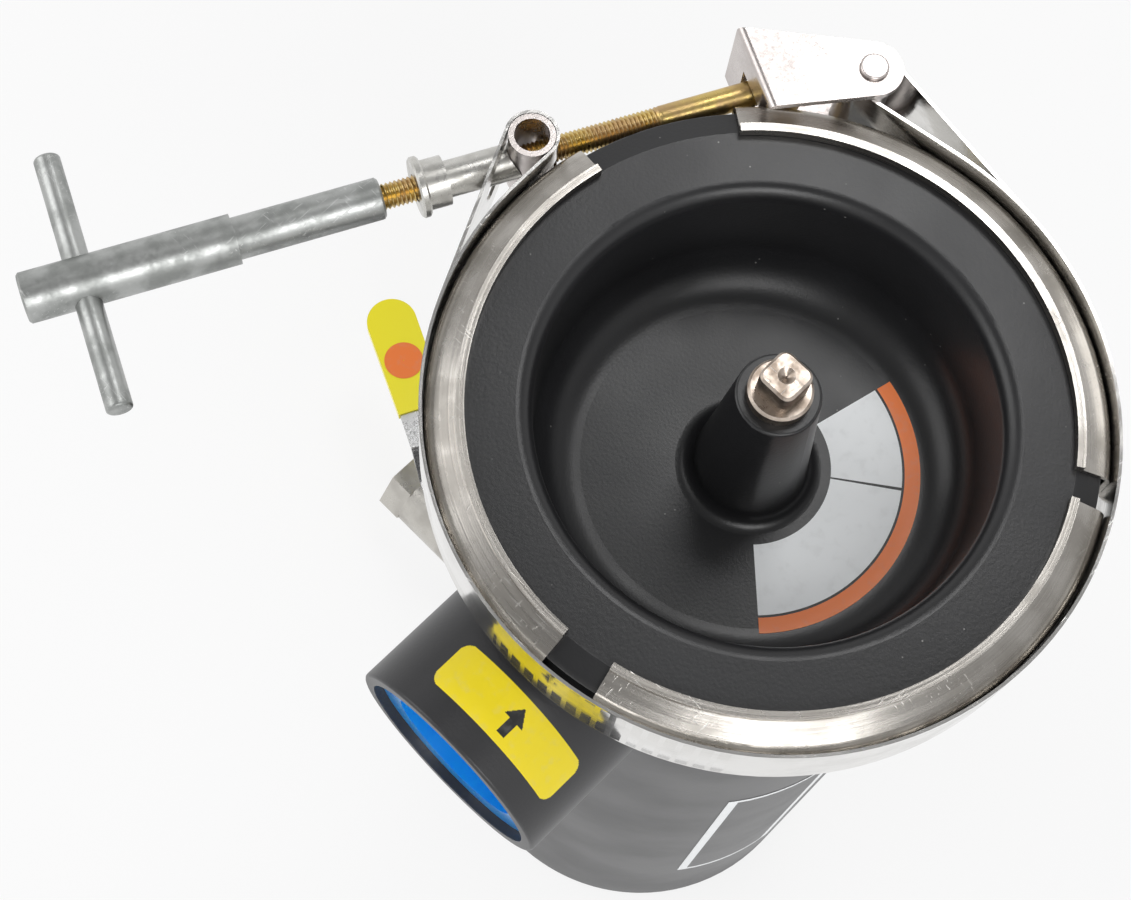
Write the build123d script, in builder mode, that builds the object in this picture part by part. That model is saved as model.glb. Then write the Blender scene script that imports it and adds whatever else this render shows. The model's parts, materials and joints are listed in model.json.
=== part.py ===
"""Bag filter housing: a moulded pressure body and dished lid, closed by a V-band clamp.

The housing stands on its foot with +Z up, and the origin lies on its axis at the foot.
The inlet faces -Y, the outlet +Y and the drain -X. The clamp is closed by a T-bolt whose
head sits in a swinging latch, and a T-handle nut pulls the two ends of its strap together.
Millimetres throughout.
"""
from build123d import *
from math import acos, atan2, cos, degrees, hypot, radians, sin, sqrt, tan
import os

os.makedirs("parts", exist_ok=True)

# ---- body -----------------------------------------------------------------------------
clamp_z = 492.0             # height of the joint between body and lid
body_radius = 95.0
body_wall = 7.5
foot_width = 15.0
foot_recess = 10.0          # hollow under the bottom
foot_pad_radius = 20.0      # pad in the middle of that hollow
bottom_wall = 10.0
edge_radius = 6.0
ledge_z = 372.0             # top of the ledge that carries the basket
ledge_depth = 6.5
ledge_height = 8.0

# ---- ports ----------------------------------------------------------------------------
port_radius = 42.0
port_length = 55.0          # from the body to the mouth
port_bore_radius = 29.3     # 2 inch pipe thread
port_mouth_radius = 37.0
port_mouth_depth = 7.0
port_edge = 1.2
inlet_z = 429.0
outlet_z = 56.0
inlet_azimuth = -90.0
outlet_azimuth = 90.0
drain_azimuth = 180.0
drain_z = 36.0
drain_boss_radius = 24.0
drain_boss_length = 13.0
drain_bore_radius = 11.0

# ---- lid and joint --------------------------------------------------------------------
flange_width = 18.2         # beyond the body
flange_edge = 8.5           # height of the flange's rim on each side of the joint
flange_land = 9.2           # sloped face that the clamp wedges on
vee_angle = 20.0
joint_gap = 0.1
seal_inset = 9.5            # from the bore to the ring
seal_section = 2.0          # radius of the ring's section
seal_room = 0.15
dish_inset = 7.5            # from the bore to the wall of the dish
dish_taper = 2.0            # by which that wall leans in
dish_depth = 56.0           # from the rim down to the floor
lid_wall = 5.5
lid_spigot_gap = 0.7        # between the lid and the bore of the body
boss_base_radius = 21.0
boss_top_radius = 14.5
boss_rise = 16.0            # above the rim
boss_fillet = 6.0
boss_edge = 1.0
rim_roll = 6.0
dish_fillet = 18.0

# ---- vent plug ------------------------------------------------------------------------
plug_thread_radius = 10.3
plug_thread_length = 16.0
plug_body_radius = 11.0
plug_body_height = 5.0
plug_square = 14.0
plug_square_height = 12.0
plug_dimple = 3.0
plug_dimple_angle = 110.0
plug_corner = 3.4
plug_chamfer = 0.9
plug_gap = 0.2

# ---- basket, bag and ring -------------------------------------------------------------
basket_inset = 11.5         # from the bore to the basket
basket_wall = 2.5
basket_floor_z = 62.0
basket_rim_height = 5.0
rim_gap = 0.6               # between loose rings and the bore they drop into
slot_rows = 6
slots_per_row = 12
slot_width = 10.0
slot_height = 34.0
bag_gap = 1.0
bag_wall = 2.0
bag_end_radius = 30.0
ring_height = 9.0
ring_section = 7.0
stack_gap = 0.2             # between rings that rest on each other

# ---- clamp ----------------------------------------------------------------------------
strap_thickness = 1.1
strap_width = 32.0
retainer_gap = 0.15
retainer_thickness = 1.9
retainer_bend = 5.5         # outside radius where a leg turns into the vee's back
retainer_play = 0.35        # between a vee leg and the flange that it holds
retainer_room = 1.65        # between the flange and the inside of the vee
lip_overhang = 1.1          # by which the lip reaches further in than the flange
lip_width = 2.9
retainer_arc = 105.0
gap_left = 10.0             # open angle between the left and the centre retainer
gap_right = 6.0             # open angle between the centre and the right retainer
closure_azimuth = 154.0     # where the T-bolt passes closest to the axis
bolt_lift = 1.5             # from the strap out to the T-bolt's axis
trunnion_along = 44.5       # trunnion barrel, measured along the T-bolt
trunnion_radius = 8.3
trunnion_wall = 2.0
loop_play = 0.3             # between a strap loop and the barrel inside it
window_width = 24.0         # openings in the strap that let the T-bolt pass and swing
window_reach = 30.0
latch_pivot_along = -78.5
latch_pivot_lift = 14.9     # from the strap out to the latch's pin

# ---- T-bolt, sleeve and handle --------------------------------------------------------
rod_radius = 4.75
head_along = -54.0
head_radius = 6.3
head_height = 24.0
rod_end_along = 200.0
thread_pitch = 1.5875       # 16 turns to the inch
sleeve_radius = 6.6
sleeve_bore_play = 0.35
sleeve_end_along = 76.0
collar_radius = 11.0
collar_body_radius = 9.0
collar_thickness = 3.2
collar_along = 87.0
collar_chamfer = 0.7
handle_start_along = 99.4
handle_step_along = 152.0
handle_end_along = 226.5
handle_radius = 7.5
handle_grip_radius = 9.0
handle_bore_play = 0.25
handle_wall = 2.2
rim_chamfer = 0.8
handle_mouth_depth = 14.0
crossbar_along = 205.8
crossbar_radius = 4.7
crossbar_length = 98.0
crossbar_edge = 1.2
crossbar_play = 0.05

# ---- latch ----------------------------------------------------------------------------
latch_thickness = 2.5
latch_play = 0.4            # between a cheek and the strap
latch_end_radius = 10.7
latch_web_along = -38.0     # outside of the web, measured along the T-bolt
latch_web_out = 17.5        # from the T-bolt's axis to the ends of the web and of its slot
latch_web_in = 15.5
latch_slot_width = 11.5
latch_slot_out = 6.5
pin_radius = 4.0
pin_play = 0.2
pin_head_radius = 5.2
pin_head_height = 1.6

# ---- drain valve ----------------------------------------------------------------------
nipple_radius = 12.6
nipple_bore = 8.5
nipple_hold = 12.0          # length of nipple inside each end
nipple_end_gap = 0.5
valve_distance = 42.0       # from the drain boss to the valve's stem
valve_half_length = 34.0
valve_body_radius = 20.0
valve_hex = 37.0            # across flats of the ends
valve_hex_length = 14.0
valve_neck_radius = 11.0
valve_neck_top = 30.0       # above the valve's axis
valve_bore = 11.0
ball_radius = 15.5
ball_play = 0.3
stem_radius = 5.0
stem_play = 0.25
packing_nut = 20.0          # across flats
packing_nut_height = 6.0
lever_angle = 154.7         # azimuth in which the lever points
lever_length = 111.4
lever_width = 24.0
lever_thickness = 3.0
lever_hub_radius = 13.0
lever_crank = 14.0
grip_wall = 1.6
grip_start = 47.0
lever_nut_width = 16.0
lever_nut_height = 5.0
stem_rise = 1.0             # of the stem above its nut
stem_chamfer = 0.6
lever_gap = 0.3

# ---- port caps ------------------------------------------------------------------------
cap_play = 0.3
cap_flange_thickness = 3.0
cap_cup_depth = 26.0
cap_wall = 1.8
cap_ribs = 6
cap_rib_height = 9.0

# ---- worked-out sizes -----------------------------------------------------------------
bore_radius = body_radius - body_wall
port_reach = body_radius + port_length
drain_boss_reach = body_radius + drain_boss_length
valve_along = drain_boss_reach + valve_distance
flange_radius = body_radius + flange_width
flange_inner_radius = flange_radius - flange_land
seal_radius = bore_radius + seal_inset
dish_radius = bore_radius - dish_inset
dish_floor_radius = dish_radius - dish_taper
basket_radius = bore_radius - basket_inset
rim_height = flange_edge + (flange_radius - flange_inner_radius) * tan(radians(vee_angle))
lid_rim_z = clamp_z + rim_height
dish_floor_z = lid_rim_z - dish_depth
boss_top_z = lid_rim_z + boss_rise
web_inside = flange_radius + retainer_room
retainer_radius = web_inside + retainer_thickness
strap_radius = retainer_radius + retainer_gap + strap_thickness
bolt_offset = strap_radius + bolt_lift          # from the housing axis to the T-bolt's axis
latch_pivot_offset = sqrt((strap_radius + latch_pivot_lift) ** 2 - latch_pivot_along ** 2)
latch_web_outer = bolt_offset + latch_web_out
latch_web_inner = bolt_offset - latch_web_in
latch_slot_end = bolt_offset + latch_slot_out
lip_inner_radius = flange_inner_radius - lip_overhang
trunnion_loop_radius = trunnion_radius + loop_play + strap_thickness / 2
strap_centre_radius = strap_radius - strap_thickness / 2
half_width = strap_width / 2
port_names = {"inlet": (inlet_azimuth, inlet_z), "outlet": (outlet_azimuth, outlet_z)}


def radial_plane(azimuth, height):
    """Plane through the housing axis: x runs outward at the azimuth and y runs up."""
    angle = radians(azimuth)
    return Plane(origin=(0, 0, height), x_dir=(cos(angle), sin(angle), 0), z_dir=(sin(angle), -cos(angle), 0))


def outward_plane(azimuth, distance, height):
    """Plane square to a radius: its z runs outward and its y runs up."""
    angle = radians(azimuth)
    place = (distance * cos(angle), distance * sin(angle), height)
    return Plane(origin=place, x_dir=(-sin(angle), cos(angle), 0), z_dir=(cos(angle), sin(angle), 0))


def closure_point(along, offset):
    """Point beside the closure: along the T-bolt towards its handle, and out from the housing axis."""
    angle = radians(closure_azimuth)
    return (offset * cos(angle) - along * sin(angle), offset * sin(angle) + along * cos(angle))


def closure_plane(along, height=clamp_z):
    """Plane square to the T-bolt, centred on its axis: z runs to the handle and y runs up."""
    angle = radians(closure_azimuth)
    x, y = closure_point(along, bolt_offset)
    return Plane(origin=(x, y, height), x_dir=(-cos(angle), -sin(angle), 0), z_dir=(-sin(angle), cos(angle), 0))


def polar_point(radius, azimuth):
    """Point in plan at a radius and an azimuth."""
    return (radius * cos(radians(azimuth)), radius * sin(radians(azimuth)))


# The body: shell, flange, basket ledge, ports and drain boss.
flange_half = [
    (flange_radius, 0), (flange_radius, flange_edge), (flange_inner_radius, rim_height),
]
with BuildPart() as filter_body:
    with BuildSketch(Plane.XZ) as body_section:
        with BuildLine():
            Polyline(
                (0, 0), (foot_pad_radius, 0), (foot_pad_radius, foot_recess),
                (body_radius - foot_width, foot_recess), (body_radius - foot_width, 0),
                (body_radius, 0), (body_radius, clamp_z - rim_height),
                *[(r, clamp_z - joint_gap / 2 - z) for r, z in reversed(flange_half)],
                (0, clamp_z - joint_gap / 2), close=True,
            )
        make_face()
    revolve(axis=Axis.Z)
    fillet(filter_body.edges().filter_by(GeomType.CIRCLE).group_by(Axis.Z)[0].sort_by(SortBy.RADIUS)[-1], edge_radius)
    for azimuth, height in port_names.values():
        with BuildSketch(outward_plane(azimuth, 0, height)):
            Circle(port_radius)
        extrude(amount=port_reach)
        fillet(filter_body.faces().filter_by(Plane.XZ).sort_by(Axis.Y)[-1 if azimuth > 0 else 0].edges(), port_edge)
    with BuildSketch(outward_plane(drain_azimuth, 0, drain_z)):
        Circle(drain_boss_radius)
    extrude(amount=drain_boss_reach)
    with BuildSketch(Plane.XZ) as body_hollow:
        with BuildLine():
            Polyline(
                (0, foot_recess + bottom_wall), (bore_radius, foot_recess + bottom_wall),
                (bore_radius, ledge_z - ledge_height), (bore_radius - ledge_depth, ledge_z - ledge_height / 2),
                (bore_radius - ledge_depth, ledge_z), (bore_radius, ledge_z),
                (bore_radius, clamp_z), (0, clamp_z), close=True,
            )
        make_face()
        fillet(body_hollow.vertices().sort_by_distance((bore_radius, foot_recess + bottom_wall))[0], edge_radius)
    revolve(axis=Axis.Z, mode=Mode.SUBTRACT)
    for azimuth, height in port_names.values():
        with BuildSketch(outward_plane(azimuth, 0, height)):
            Circle(port_bore_radius)
        extrude(amount=port_reach, mode=Mode.SUBTRACT)
        with BuildSketch(outward_plane(azimuth, port_reach - port_mouth_depth, height)):
            Circle(port_mouth_radius)
        extrude(amount=port_mouth_depth, mode=Mode.SUBTRACT)
    with BuildSketch(outward_plane(drain_azimuth, 0, drain_z)):
        Circle(drain_bore_radius)
    extrude(amount=drain_boss_reach, mode=Mode.SUBTRACT)
    with BuildSketch(outward_plane(drain_azimuth, drain_boss_reach - nipple_hold, drain_z)):
        Circle(nipple_radius + stem_play)
    extrude(amount=nipple_hold, mode=Mode.SUBTRACT)
    with BuildSketch(Plane.XY.offset(clamp_z - joint_gap / 2)):
        Circle(seal_radius + seal_section + seal_room)
        Circle(seal_radius - seal_section - seal_room, mode=Mode.SUBTRACT)
    extrude(amount=-2 * seal_section, mode=Mode.SUBTRACT)
filter_body.part.label = "filter_body"
export_step(filter_body.part, "parts/filter_body.step")

with BuildPart() as lid_seal:
    with BuildSketch(radial_plane(0, clamp_z - joint_gap / 2 - seal_section)):
        with Locations((seal_radius, 0)):
            Circle(seal_section)
    revolve(axis=Axis.Z)
lid_seal.part.label = "lid_seal"
export_step(lid_seal.part, "parts/lid_seal.step")

# The lid: flat rim, deep dish with a rolled edge, and a tall boss for the vent.
with BuildPart() as lid:
    with BuildSketch(Plane.XZ) as lid_section:
        with BuildLine():
            Polyline(
                (plug_thread_radius + plug_gap, boss_top_z), (boss_top_radius, boss_top_z),
                (boss_base_radius, dish_floor_z), (dish_floor_radius, dish_floor_z),
                (dish_radius, lid_rim_z),
                *[(r, clamp_z + joint_gap / 2 + z) for r, z in reversed(flange_half)],
                (bore_radius - lid_spigot_gap, clamp_z + joint_gap / 2),
                (bore_radius - lid_spigot_gap, clamp_z - lid_wall),
                (dish_floor_radius + lid_wall, dish_floor_z - lid_wall),
                (plug_thread_radius + plug_gap, dish_floor_z - lid_wall), close=True,
            )
        make_face()
        fillet(lid_section.vertices().sort_by_distance((boss_base_radius, dish_floor_z))[0], boss_fillet)
        fillet(lid_section.vertices().sort_by_distance((boss_top_radius, boss_top_z))[0], boss_edge)
        fillet(lid_section.vertices().sort_by_distance((dish_floor_radius, dish_floor_z))[0], dish_fillet)
        fillet(lid_section.vertices().sort_by_distance((dish_radius, lid_rim_z))[0], rim_roll)
        corner = (dish_floor_radius + lid_wall, dish_floor_z - lid_wall)
        fillet(lid_section.vertices().sort_by_distance(corner)[0], dish_fillet + lid_wall)
    revolve(axis=Axis.Z)
lid.part.label = "lid"
export_step(lid.part, "parts/lid.step")

with BuildPart() as vent_plug:
    with BuildSketch(Plane.XY.offset(boss_top_z + plug_gap)):
        Circle(plug_body_radius)
    extrude(amount=plug_body_height)
    chamfer(vent_plug.edges().group_by(Axis.Z)[-1], plug_chamfer)
    with BuildSketch(Plane.XY.offset(boss_top_z + plug_gap)):
        Circle(plug_thread_radius)
    extrude(amount=-plug_thread_length)
    with BuildSketch(Plane.XY.offset(boss_top_z + plug_gap + plug_body_height)):
        RectangleRounded(plug_square, plug_square, plug_corner)
    extrude(amount=plug_square_height)
    chamfer(vent_plug.edges().group_by(Axis.Z)[-1], plug_chamfer)
    with Locations(Plane.XY.offset(boss_top_z + plug_gap + plug_body_height + plug_square_height)):
        CounterSinkHole(plug_dimple / 6, plug_dimple, depth=plug_dimple, counter_sink_angle=plug_dimple_angle)
vent_plug.part.label = "vent_plug"
export_step(vent_plug.part, "parts/vent_plug.step")

# The basket: a slotted tube with a closed floor, hung by its rim on the ledge of the body.
basket_top_z = ledge_z + stack_gap + basket_rim_height
with BuildPart() as basket:
    with BuildSketch(Plane.XZ):
        with BuildLine():
            Polyline(
                (0, basket_floor_z), (basket_radius, basket_floor_z), (basket_radius, ledge_z + stack_gap),
                (bore_radius - rim_gap, ledge_z + stack_gap), (bore_radius - rim_gap, basket_top_z),
                (basket_radius - basket_wall, basket_top_z),
                (basket_radius - basket_wall, basket_floor_z + basket_wall), (0, basket_floor_z + basket_wall),
                close=True,
            )
        make_face()
    revolve(axis=Axis.Z)
    slot_pitch = (ledge_z - basket_floor_z) / slot_rows
    slot_planes = [
        outward_plane(
            (turn + 0.5 * (row % 2)) * 360 / slots_per_row,
            basket_radius - 2 * basket_wall,
            basket_floor_z + slot_pitch * (row + 0.5),
        )
        for row in range(slot_rows)
        for turn in range(slots_per_row)
    ]
    with BuildSketch(*slot_planes):
        SlotOverall(slot_height, slot_width, rotation=90)
    extrude(amount=3 * basket_wall, mode=Mode.SUBTRACT)
basket.part.label = "basket"
export_step(basket.part, "parts/basket.step")

bag_radius = basket_radius - basket_wall - bag_gap
with BuildPart() as filter_bag:
    with BuildSketch(Plane.XZ) as bag_section:
        bag_floor_z = basket_floor_z + basket_wall + bag_gap
        with BuildLine():
            Polyline(
                (0, bag_floor_z), (bag_radius, bag_floor_z), (bag_radius, basket_top_z),
                (bag_radius - bag_wall, basket_top_z), (bag_radius - bag_wall, bag_floor_z + bag_wall),
                (0, bag_floor_z + bag_wall), close=True,
            )
        make_face()
        fillet(bag_section.vertices().sort_by_distance((bag_radius, bag_floor_z))[0], bag_end_radius)
        inner_corner = (bag_radius - bag_wall, bag_floor_z + bag_wall)
        fillet(bag_section.vertices().sort_by_distance(inner_corner)[0], bag_end_radius - bag_wall)
    revolve(axis=Axis.Z)
filter_bag.part.label = "filter_bag"
export_step(filter_bag.part, "parts/filter_bag.step")

ring_z = basket_top_z + stack_gap
with BuildPart() as bag_ring:
    with BuildSketch(Plane.XZ):
        with BuildLine():
            Polyline(
                (bore_radius - rim_gap, ring_z), (bore_radius - rim_gap, ring_z + ring_height),
                (bore_radius - rim_gap - ring_section / 2, ring_z + ring_height),
                (bag_radius - bag_wall, ring_z + ring_height / 2),
                (bag_radius - bag_wall, ring_z), close=True,
            )
        make_face()
    revolve(axis=Axis.Z)
bag_ring.part.label = "bag_ring"
export_step(bag_ring.part, "parts/bag_ring.step")

# The vee retainers: three pressed segments that wedge the two flanges together.
vee = tan(radians(vee_angle))
inside_edge = flange_edge + retainer_play
leg = retainer_thickness / cos(radians(vee_angle))
leg_foot = inside_edge + (flange_radius - web_inside) * vee
lip_outer_radius = lip_inner_radius + lip_width
lip_floor = inside_edge + (flange_radius - flange_inner_radius) * vee
retainer_upper = [
    (web_inside, leg_foot),
    (flange_inner_radius, lip_floor),
    (lip_inner_radius, lip_floor),
    (lip_inner_radius, half_width),
    (lip_outer_radius, half_width),
    (lip_outer_radius, inside_edge + (flange_radius - lip_outer_radius) * vee + leg),
    (retainer_radius, inside_edge + (flange_radius - retainer_radius) * vee + leg),
]
closure_half_gap = (360 - 3 * retainer_arc - gap_left - gap_right) / 2
left_start = closure_azimuth + closure_half_gap
centre_start = left_start + retainer_arc + gap_left
right_start = centre_start + retainer_arc + gap_right
retainer_starts = {"left": left_start, "centre": centre_start, "right": right_start}
for side, start in retainer_starts.items():
    with BuildPart() as retainer:
        with BuildSketch(radial_plane(start, clamp_z)) as retainer_section:
            with BuildLine():
                Polyline(*retainer_upper, *[(r, -z) for r, z in reversed(retainer_upper)], close=True)
            make_face()
            for corner in (retainer_upper[-1], (retainer_upper[-1][0], -retainer_upper[-1][1])):
                fillet(retainer_section.vertices().sort_by_distance(corner)[0], retainer_bend)
        revolve(axis=Axis.Z, revolution_arc=retainer_arc)
    retainer.part.label = f"retainer_{side}"
    export_step(retainer.part, f"parts/retainer_{side}.step")


def tangent_azimuths(along, offset, loop_radius, side):
    """Azimuths where a loop's straight legs meet the strap: the outer leg and the returning leg.

    side is 1 where the strap lies at larger azimuths than the loop, and -1 where it lies at smaller ones.
    """
    x, y = closure_point(along, offset)
    distance = hypot(x, y)
    middle = degrees(atan2(y, x))
    outer = middle + side * degrees(acos((strap_centre_radius - loop_radius) / distance))
    returning = middle + side * degrees(acos((strap_centre_radius + loop_radius) / distance))
    return outer, returning


loops = {
    "left": (trunnion_along, bolt_offset, 1),
    "right": (latch_pivot_along, latch_pivot_offset, -1),
}
loop_legs = {
    side: tangent_azimuths(along, offset, trunnion_loop_radius, turn) for side, (along, offset, turn) in loops.items()
}

# The strap: a band round the retainers that folds back on itself round a barrel at each end.
with BuildPart() as clamp_strap:
    with BuildSketch(Plane.XY.offset(clamp_z - half_width)) as strap_plan:
        returning_left = loop_legs["left"][1]
        returning_right = loop_legs["right"][1]
        with BuildLine():
            sweep_angle = returning_right + 360 - returning_left
            CenterArc((0, 0), strap_centre_radius, returning_left, sweep_angle)
        trace(line_width=strap_thickness)
        for side, (along, offset, turn) in loops.items():
            outer, returning = loop_legs[side]
            centre = Vector(*closure_point(along, offset))
            with BuildLine():
                loop_start = centre + Vector(*polar_point(trunnion_loop_radius, outer))
                Line(polar_point(strap_centre_radius, outer), (loop_start.X, loop_start.Y))
                CenterArc((centre.X, centre.Y), trunnion_loop_radius, outer, -turn * (180 + abs(outer - returning)))
                loop_end = centre - Vector(*polar_point(trunnion_loop_radius, returning))
                Line((loop_end.X, loop_end.Y), polar_point(strap_centre_radius, returning))
            trace(line_width=strap_thickness)
    extrude(amount=strap_width)
    with BuildSketch(closure_plane(trunnion_along)) as sleeve_window:
        SlotOverall(window_width, 2 * (sleeve_radius + loop_play))
    extrude(amount=window_reach, mode=Mode.SUBTRACT)
    with BuildSketch(closure_plane(trunnion_along)) as rod_window:
        SlotOverall(window_width, 2 * (rod_radius + sleeve_bore_play))
    extrude(amount=-2 * trunnion_loop_radius, mode=Mode.SUBTRACT)
clamp_strap.part.label = "clamp_strap"
export_step(clamp_strap.part, "parts/clamp_strap.step")

bolt_axis = Axis((0, 0, 0), closure_plane(0).z_dir)

# The trunnion barrel: a hollow pin that the T-bolt passes through.
trunnion_x, trunnion_y = closure_point(trunnion_along, bolt_offset)
with BuildPart() as trunnion_barrel:
    with BuildSketch(Plane.XY.offset(clamp_z - half_width)):
        with Locations((trunnion_x, trunnion_y)):
            Circle(trunnion_radius)
            Circle(trunnion_radius - trunnion_wall, mode=Mode.SUBTRACT)
    extrude(amount=strap_width)
    with BuildSketch(closure_plane(trunnion_along)):
        Circle(rod_radius + sleeve_bore_play)
    extrude(amount=trunnion_radius, both=True, mode=Mode.SUBTRACT)
trunnion_barrel.part.label = "trunnion_barrel"
export_step(trunnion_barrel.part, "parts/trunnion_barrel.step")

head_x, head_y = closure_point(head_along, bolt_offset)
with BuildPart() as t_bolt:
    with BuildSketch(closure_plane(head_along)):
        Circle(rod_radius)
    extrude(amount=rod_end_along - head_along)
    chamfer(t_bolt.edges().filter_by(GeomType.CIRCLE).sort_by(bolt_axis)[-1], rim_chamfer)
    with BuildSketch(Plane.XY.offset(clamp_z - head_height / 2)):
        with Locations((head_x, head_y)):
            Circle(head_radius)
    extrude(amount=head_height)
t_bolt.part.label = "t_bolt"
export_step(t_bolt.part, "parts/t_bolt.step")

# The thrust sleeve: it bears on the trunnion barrel and carries the thrust of the handle.
with BuildPart() as thrust_sleeve:
    with BuildSketch(closure_plane(trunnion_along)):
        Circle(sleeve_radius)
    extrude(amount=collar_along - trunnion_along)
    with BuildSketch(closure_plane(sleeve_end_along)):
        Circle(collar_body_radius)
    extrude(amount=collar_along - sleeve_end_along)
    with BuildSketch(closure_plane(collar_along)):
        Circle(collar_radius)
    extrude(amount=-collar_thickness)
    chamfer(thrust_sleeve.edges().filter_by(GeomType.CIRCLE).sort_by(SortBy.RADIUS)[-2:], collar_chamfer)
    with BuildSketch(closure_plane(trunnion_along)):
        Circle(rod_radius + sleeve_bore_play)
    extrude(amount=collar_along - trunnion_along, mode=Mode.SUBTRACT)
    with BuildSketch(Plane.XY.offset(clamp_z - half_width)):
        with Locations((trunnion_x, trunnion_y)):
            Circle(trunnion_radius + loop_play)
    extrude(amount=strap_width, mode=Mode.SUBTRACT)
thrust_sleeve.part.label = "thrust_sleeve"
export_step(thrust_sleeve.part, "parts/thrust_sleeve.step")

# The T-handle: a long tube nut with a fixed crossbar.
crossbar_x, crossbar_y = closure_point(crossbar_along, bolt_offset)
across = Vector(cos(radians(closure_azimuth)), sin(radians(closure_azimuth)), 0)
crossbar_plane = Plane(origin=(crossbar_x, crossbar_y, clamp_z), x_dir=(0, 0, 1), z_dir=across)
with BuildPart() as t_handle:
    with BuildSketch(closure_plane(handle_start_along)):
        Circle(handle_radius)
    extrude(amount=handle_step_along - handle_start_along)
    with BuildSketch(closure_plane(handle_step_along)):
        Circle(handle_grip_radius)
    extrude(amount=handle_end_along - handle_step_along)
    handle_rims = t_handle.edges().filter_by(GeomType.CIRCLE).sort_by(bolt_axis)
    chamfer([handle_rims[0], handle_rims[-1]], rim_chamfer)
    with BuildSketch(closure_plane(handle_start_along)):
        Circle(rod_radius + handle_bore_play)
    extrude(amount=handle_end_along - handle_start_along, mode=Mode.SUBTRACT)
    with BuildSketch(closure_plane(handle_end_along)):
        Circle(handle_grip_radius - handle_wall)
    extrude(amount=-handle_mouth_depth, mode=Mode.SUBTRACT)
    with BuildSketch(crossbar_plane):
        Circle(crossbar_radius + crossbar_play)
    extrude(amount=2 * handle_grip_radius, both=True, mode=Mode.SUBTRACT)
t_handle.part.label = "t_handle"
export_step(t_handle.part, "parts/t_handle.step")

with BuildPart() as crossbar:
    with BuildSketch(crossbar_plane):
        Circle(crossbar_radius)
    extrude(amount=crossbar_length / 2, both=True)
    fillet(crossbar.edges().filter_by(GeomType.CIRCLE), crossbar_edge)
crossbar.part.label = "crossbar"
export_step(crossbar.part, "parts/crossbar.step")

# The latch: two cheeks joined by a web whose slot holds the T-bolt behind its head.
pivot_x, pivot_y = closure_point(latch_pivot_along, latch_pivot_offset)
cheek_inside = half_width + latch_play
cheek_outside = cheek_inside + latch_thickness


def latch_plan_at(height):
    """Plan of the closure at a height above the joint: x along the T-bolt, y out from the axis."""
    angle = radians(closure_azimuth)
    return Plane(origin=(0, 0, clamp_z + height), x_dir=(-sin(angle), cos(angle), 0), z_dir=(0, 0, -1))


with BuildPart() as latch:
    with BuildSketch(latch_plan_at(cheek_outside)) as cheek:
        with Locations((latch_pivot_along, latch_pivot_offset)):
            Circle(latch_end_radius)
        with BuildLine() as web_line:
            Line((latch_web_along, latch_web_inner), (latch_web_along, latch_web_outer))
        make_hull(cheek.edges() + web_line.edges())
    extrude(amount=2 * cheek_outside)
    bends = latch.edges().filter_by(Axis((0, 0, 0), across)).sort_by(bolt_axis)[-2:]
    fillet(bends, latch_thickness)
    with BuildSketch(latch_plan_at(cheek_inside)):
        with Locations((latch_web_along - latch_thickness, latch_web_inner)):
            Rectangle(2 * latch_web_outer, 2 * latch_web_outer, align=(Align.MAX, Align.CENTER))
    extrude(amount=2 * cheek_inside, mode=Mode.SUBTRACT)
    with BuildSketch(latch_plan_at(latch_slot_width / 2)):
        with Locations((latch_web_along, latch_slot_end)):
            Rectangle(3 * latch_thickness, latch_web_outer, align=(Align.CENTER, Align.MAX))
    extrude(amount=latch_slot_width, mode=Mode.SUBTRACT)
    with BuildSketch(latch_plan_at(cheek_outside)):
        with Locations((latch_pivot_along, latch_pivot_offset)):
            Circle(pin_radius + pin_play)
    extrude(amount=2 * cheek_outside, mode=Mode.SUBTRACT)
    with BuildSketch(Plane.XY.offset(clamp_z - cheek_inside)):
        Circle(retainer_radius + latch_play)
    extrude(amount=2 * cheek_inside, mode=Mode.SUBTRACT)
latch.part.label = "latch"
export_step(latch.part, "parts/latch.step")

with BuildPart() as latch_pin:
    with BuildSketch(latch_plan_at(cheek_outside + pin_play)):
        with Locations((latch_pivot_along, latch_pivot_offset)):
            Circle(pin_radius)
    extrude(amount=2 * (cheek_outside + pin_play))
    for side in (1, -1):
        with BuildSketch(Plane.XY.offset(clamp_z + side * (cheek_outside + pin_play))):
            with Locations((pivot_x, pivot_y)):
                Circle(pin_head_radius)
        extrude(amount=side * pin_head_height)
    fillet(latch_pin.edges().group_by(Axis.Z)[-1] + latch_pin.edges().group_by(Axis.Z)[0], 0.8)
latch_pin.part.label = "latch_pin"
export_step(latch_pin.part, "parts/latch_pin.step")

with BuildPart() as latch_barrel:
    with BuildSketch(Plane.XY.offset(clamp_z - half_width)):
        with Locations((pivot_x, pivot_y)):
            Circle(trunnion_radius)
            Circle(pin_radius + pin_play, mode=Mode.SUBTRACT)
    extrude(amount=strap_width)
latch_barrel.part.label = "latch_barrel"
export_step(latch_barrel.part, "parts/latch_barrel.step")

# The drain: nipple, quarter-turn ball valve and lever.
valve_start = valve_along - valve_half_length
with BuildPart() as drain_nipple:
    with BuildSketch(outward_plane(drain_azimuth, drain_boss_reach - nipple_hold + nipple_end_gap, drain_z)):
        Circle(nipple_radius)
        Circle(nipple_bore, mode=Mode.SUBTRACT)
    extrude(amount=valve_start - drain_boss_reach + 2 * (nipple_hold - nipple_end_gap))
drain_nipple.part.label = "drain_nipple"
export_step(drain_nipple.part, "parts/drain_nipple.step")

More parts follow.
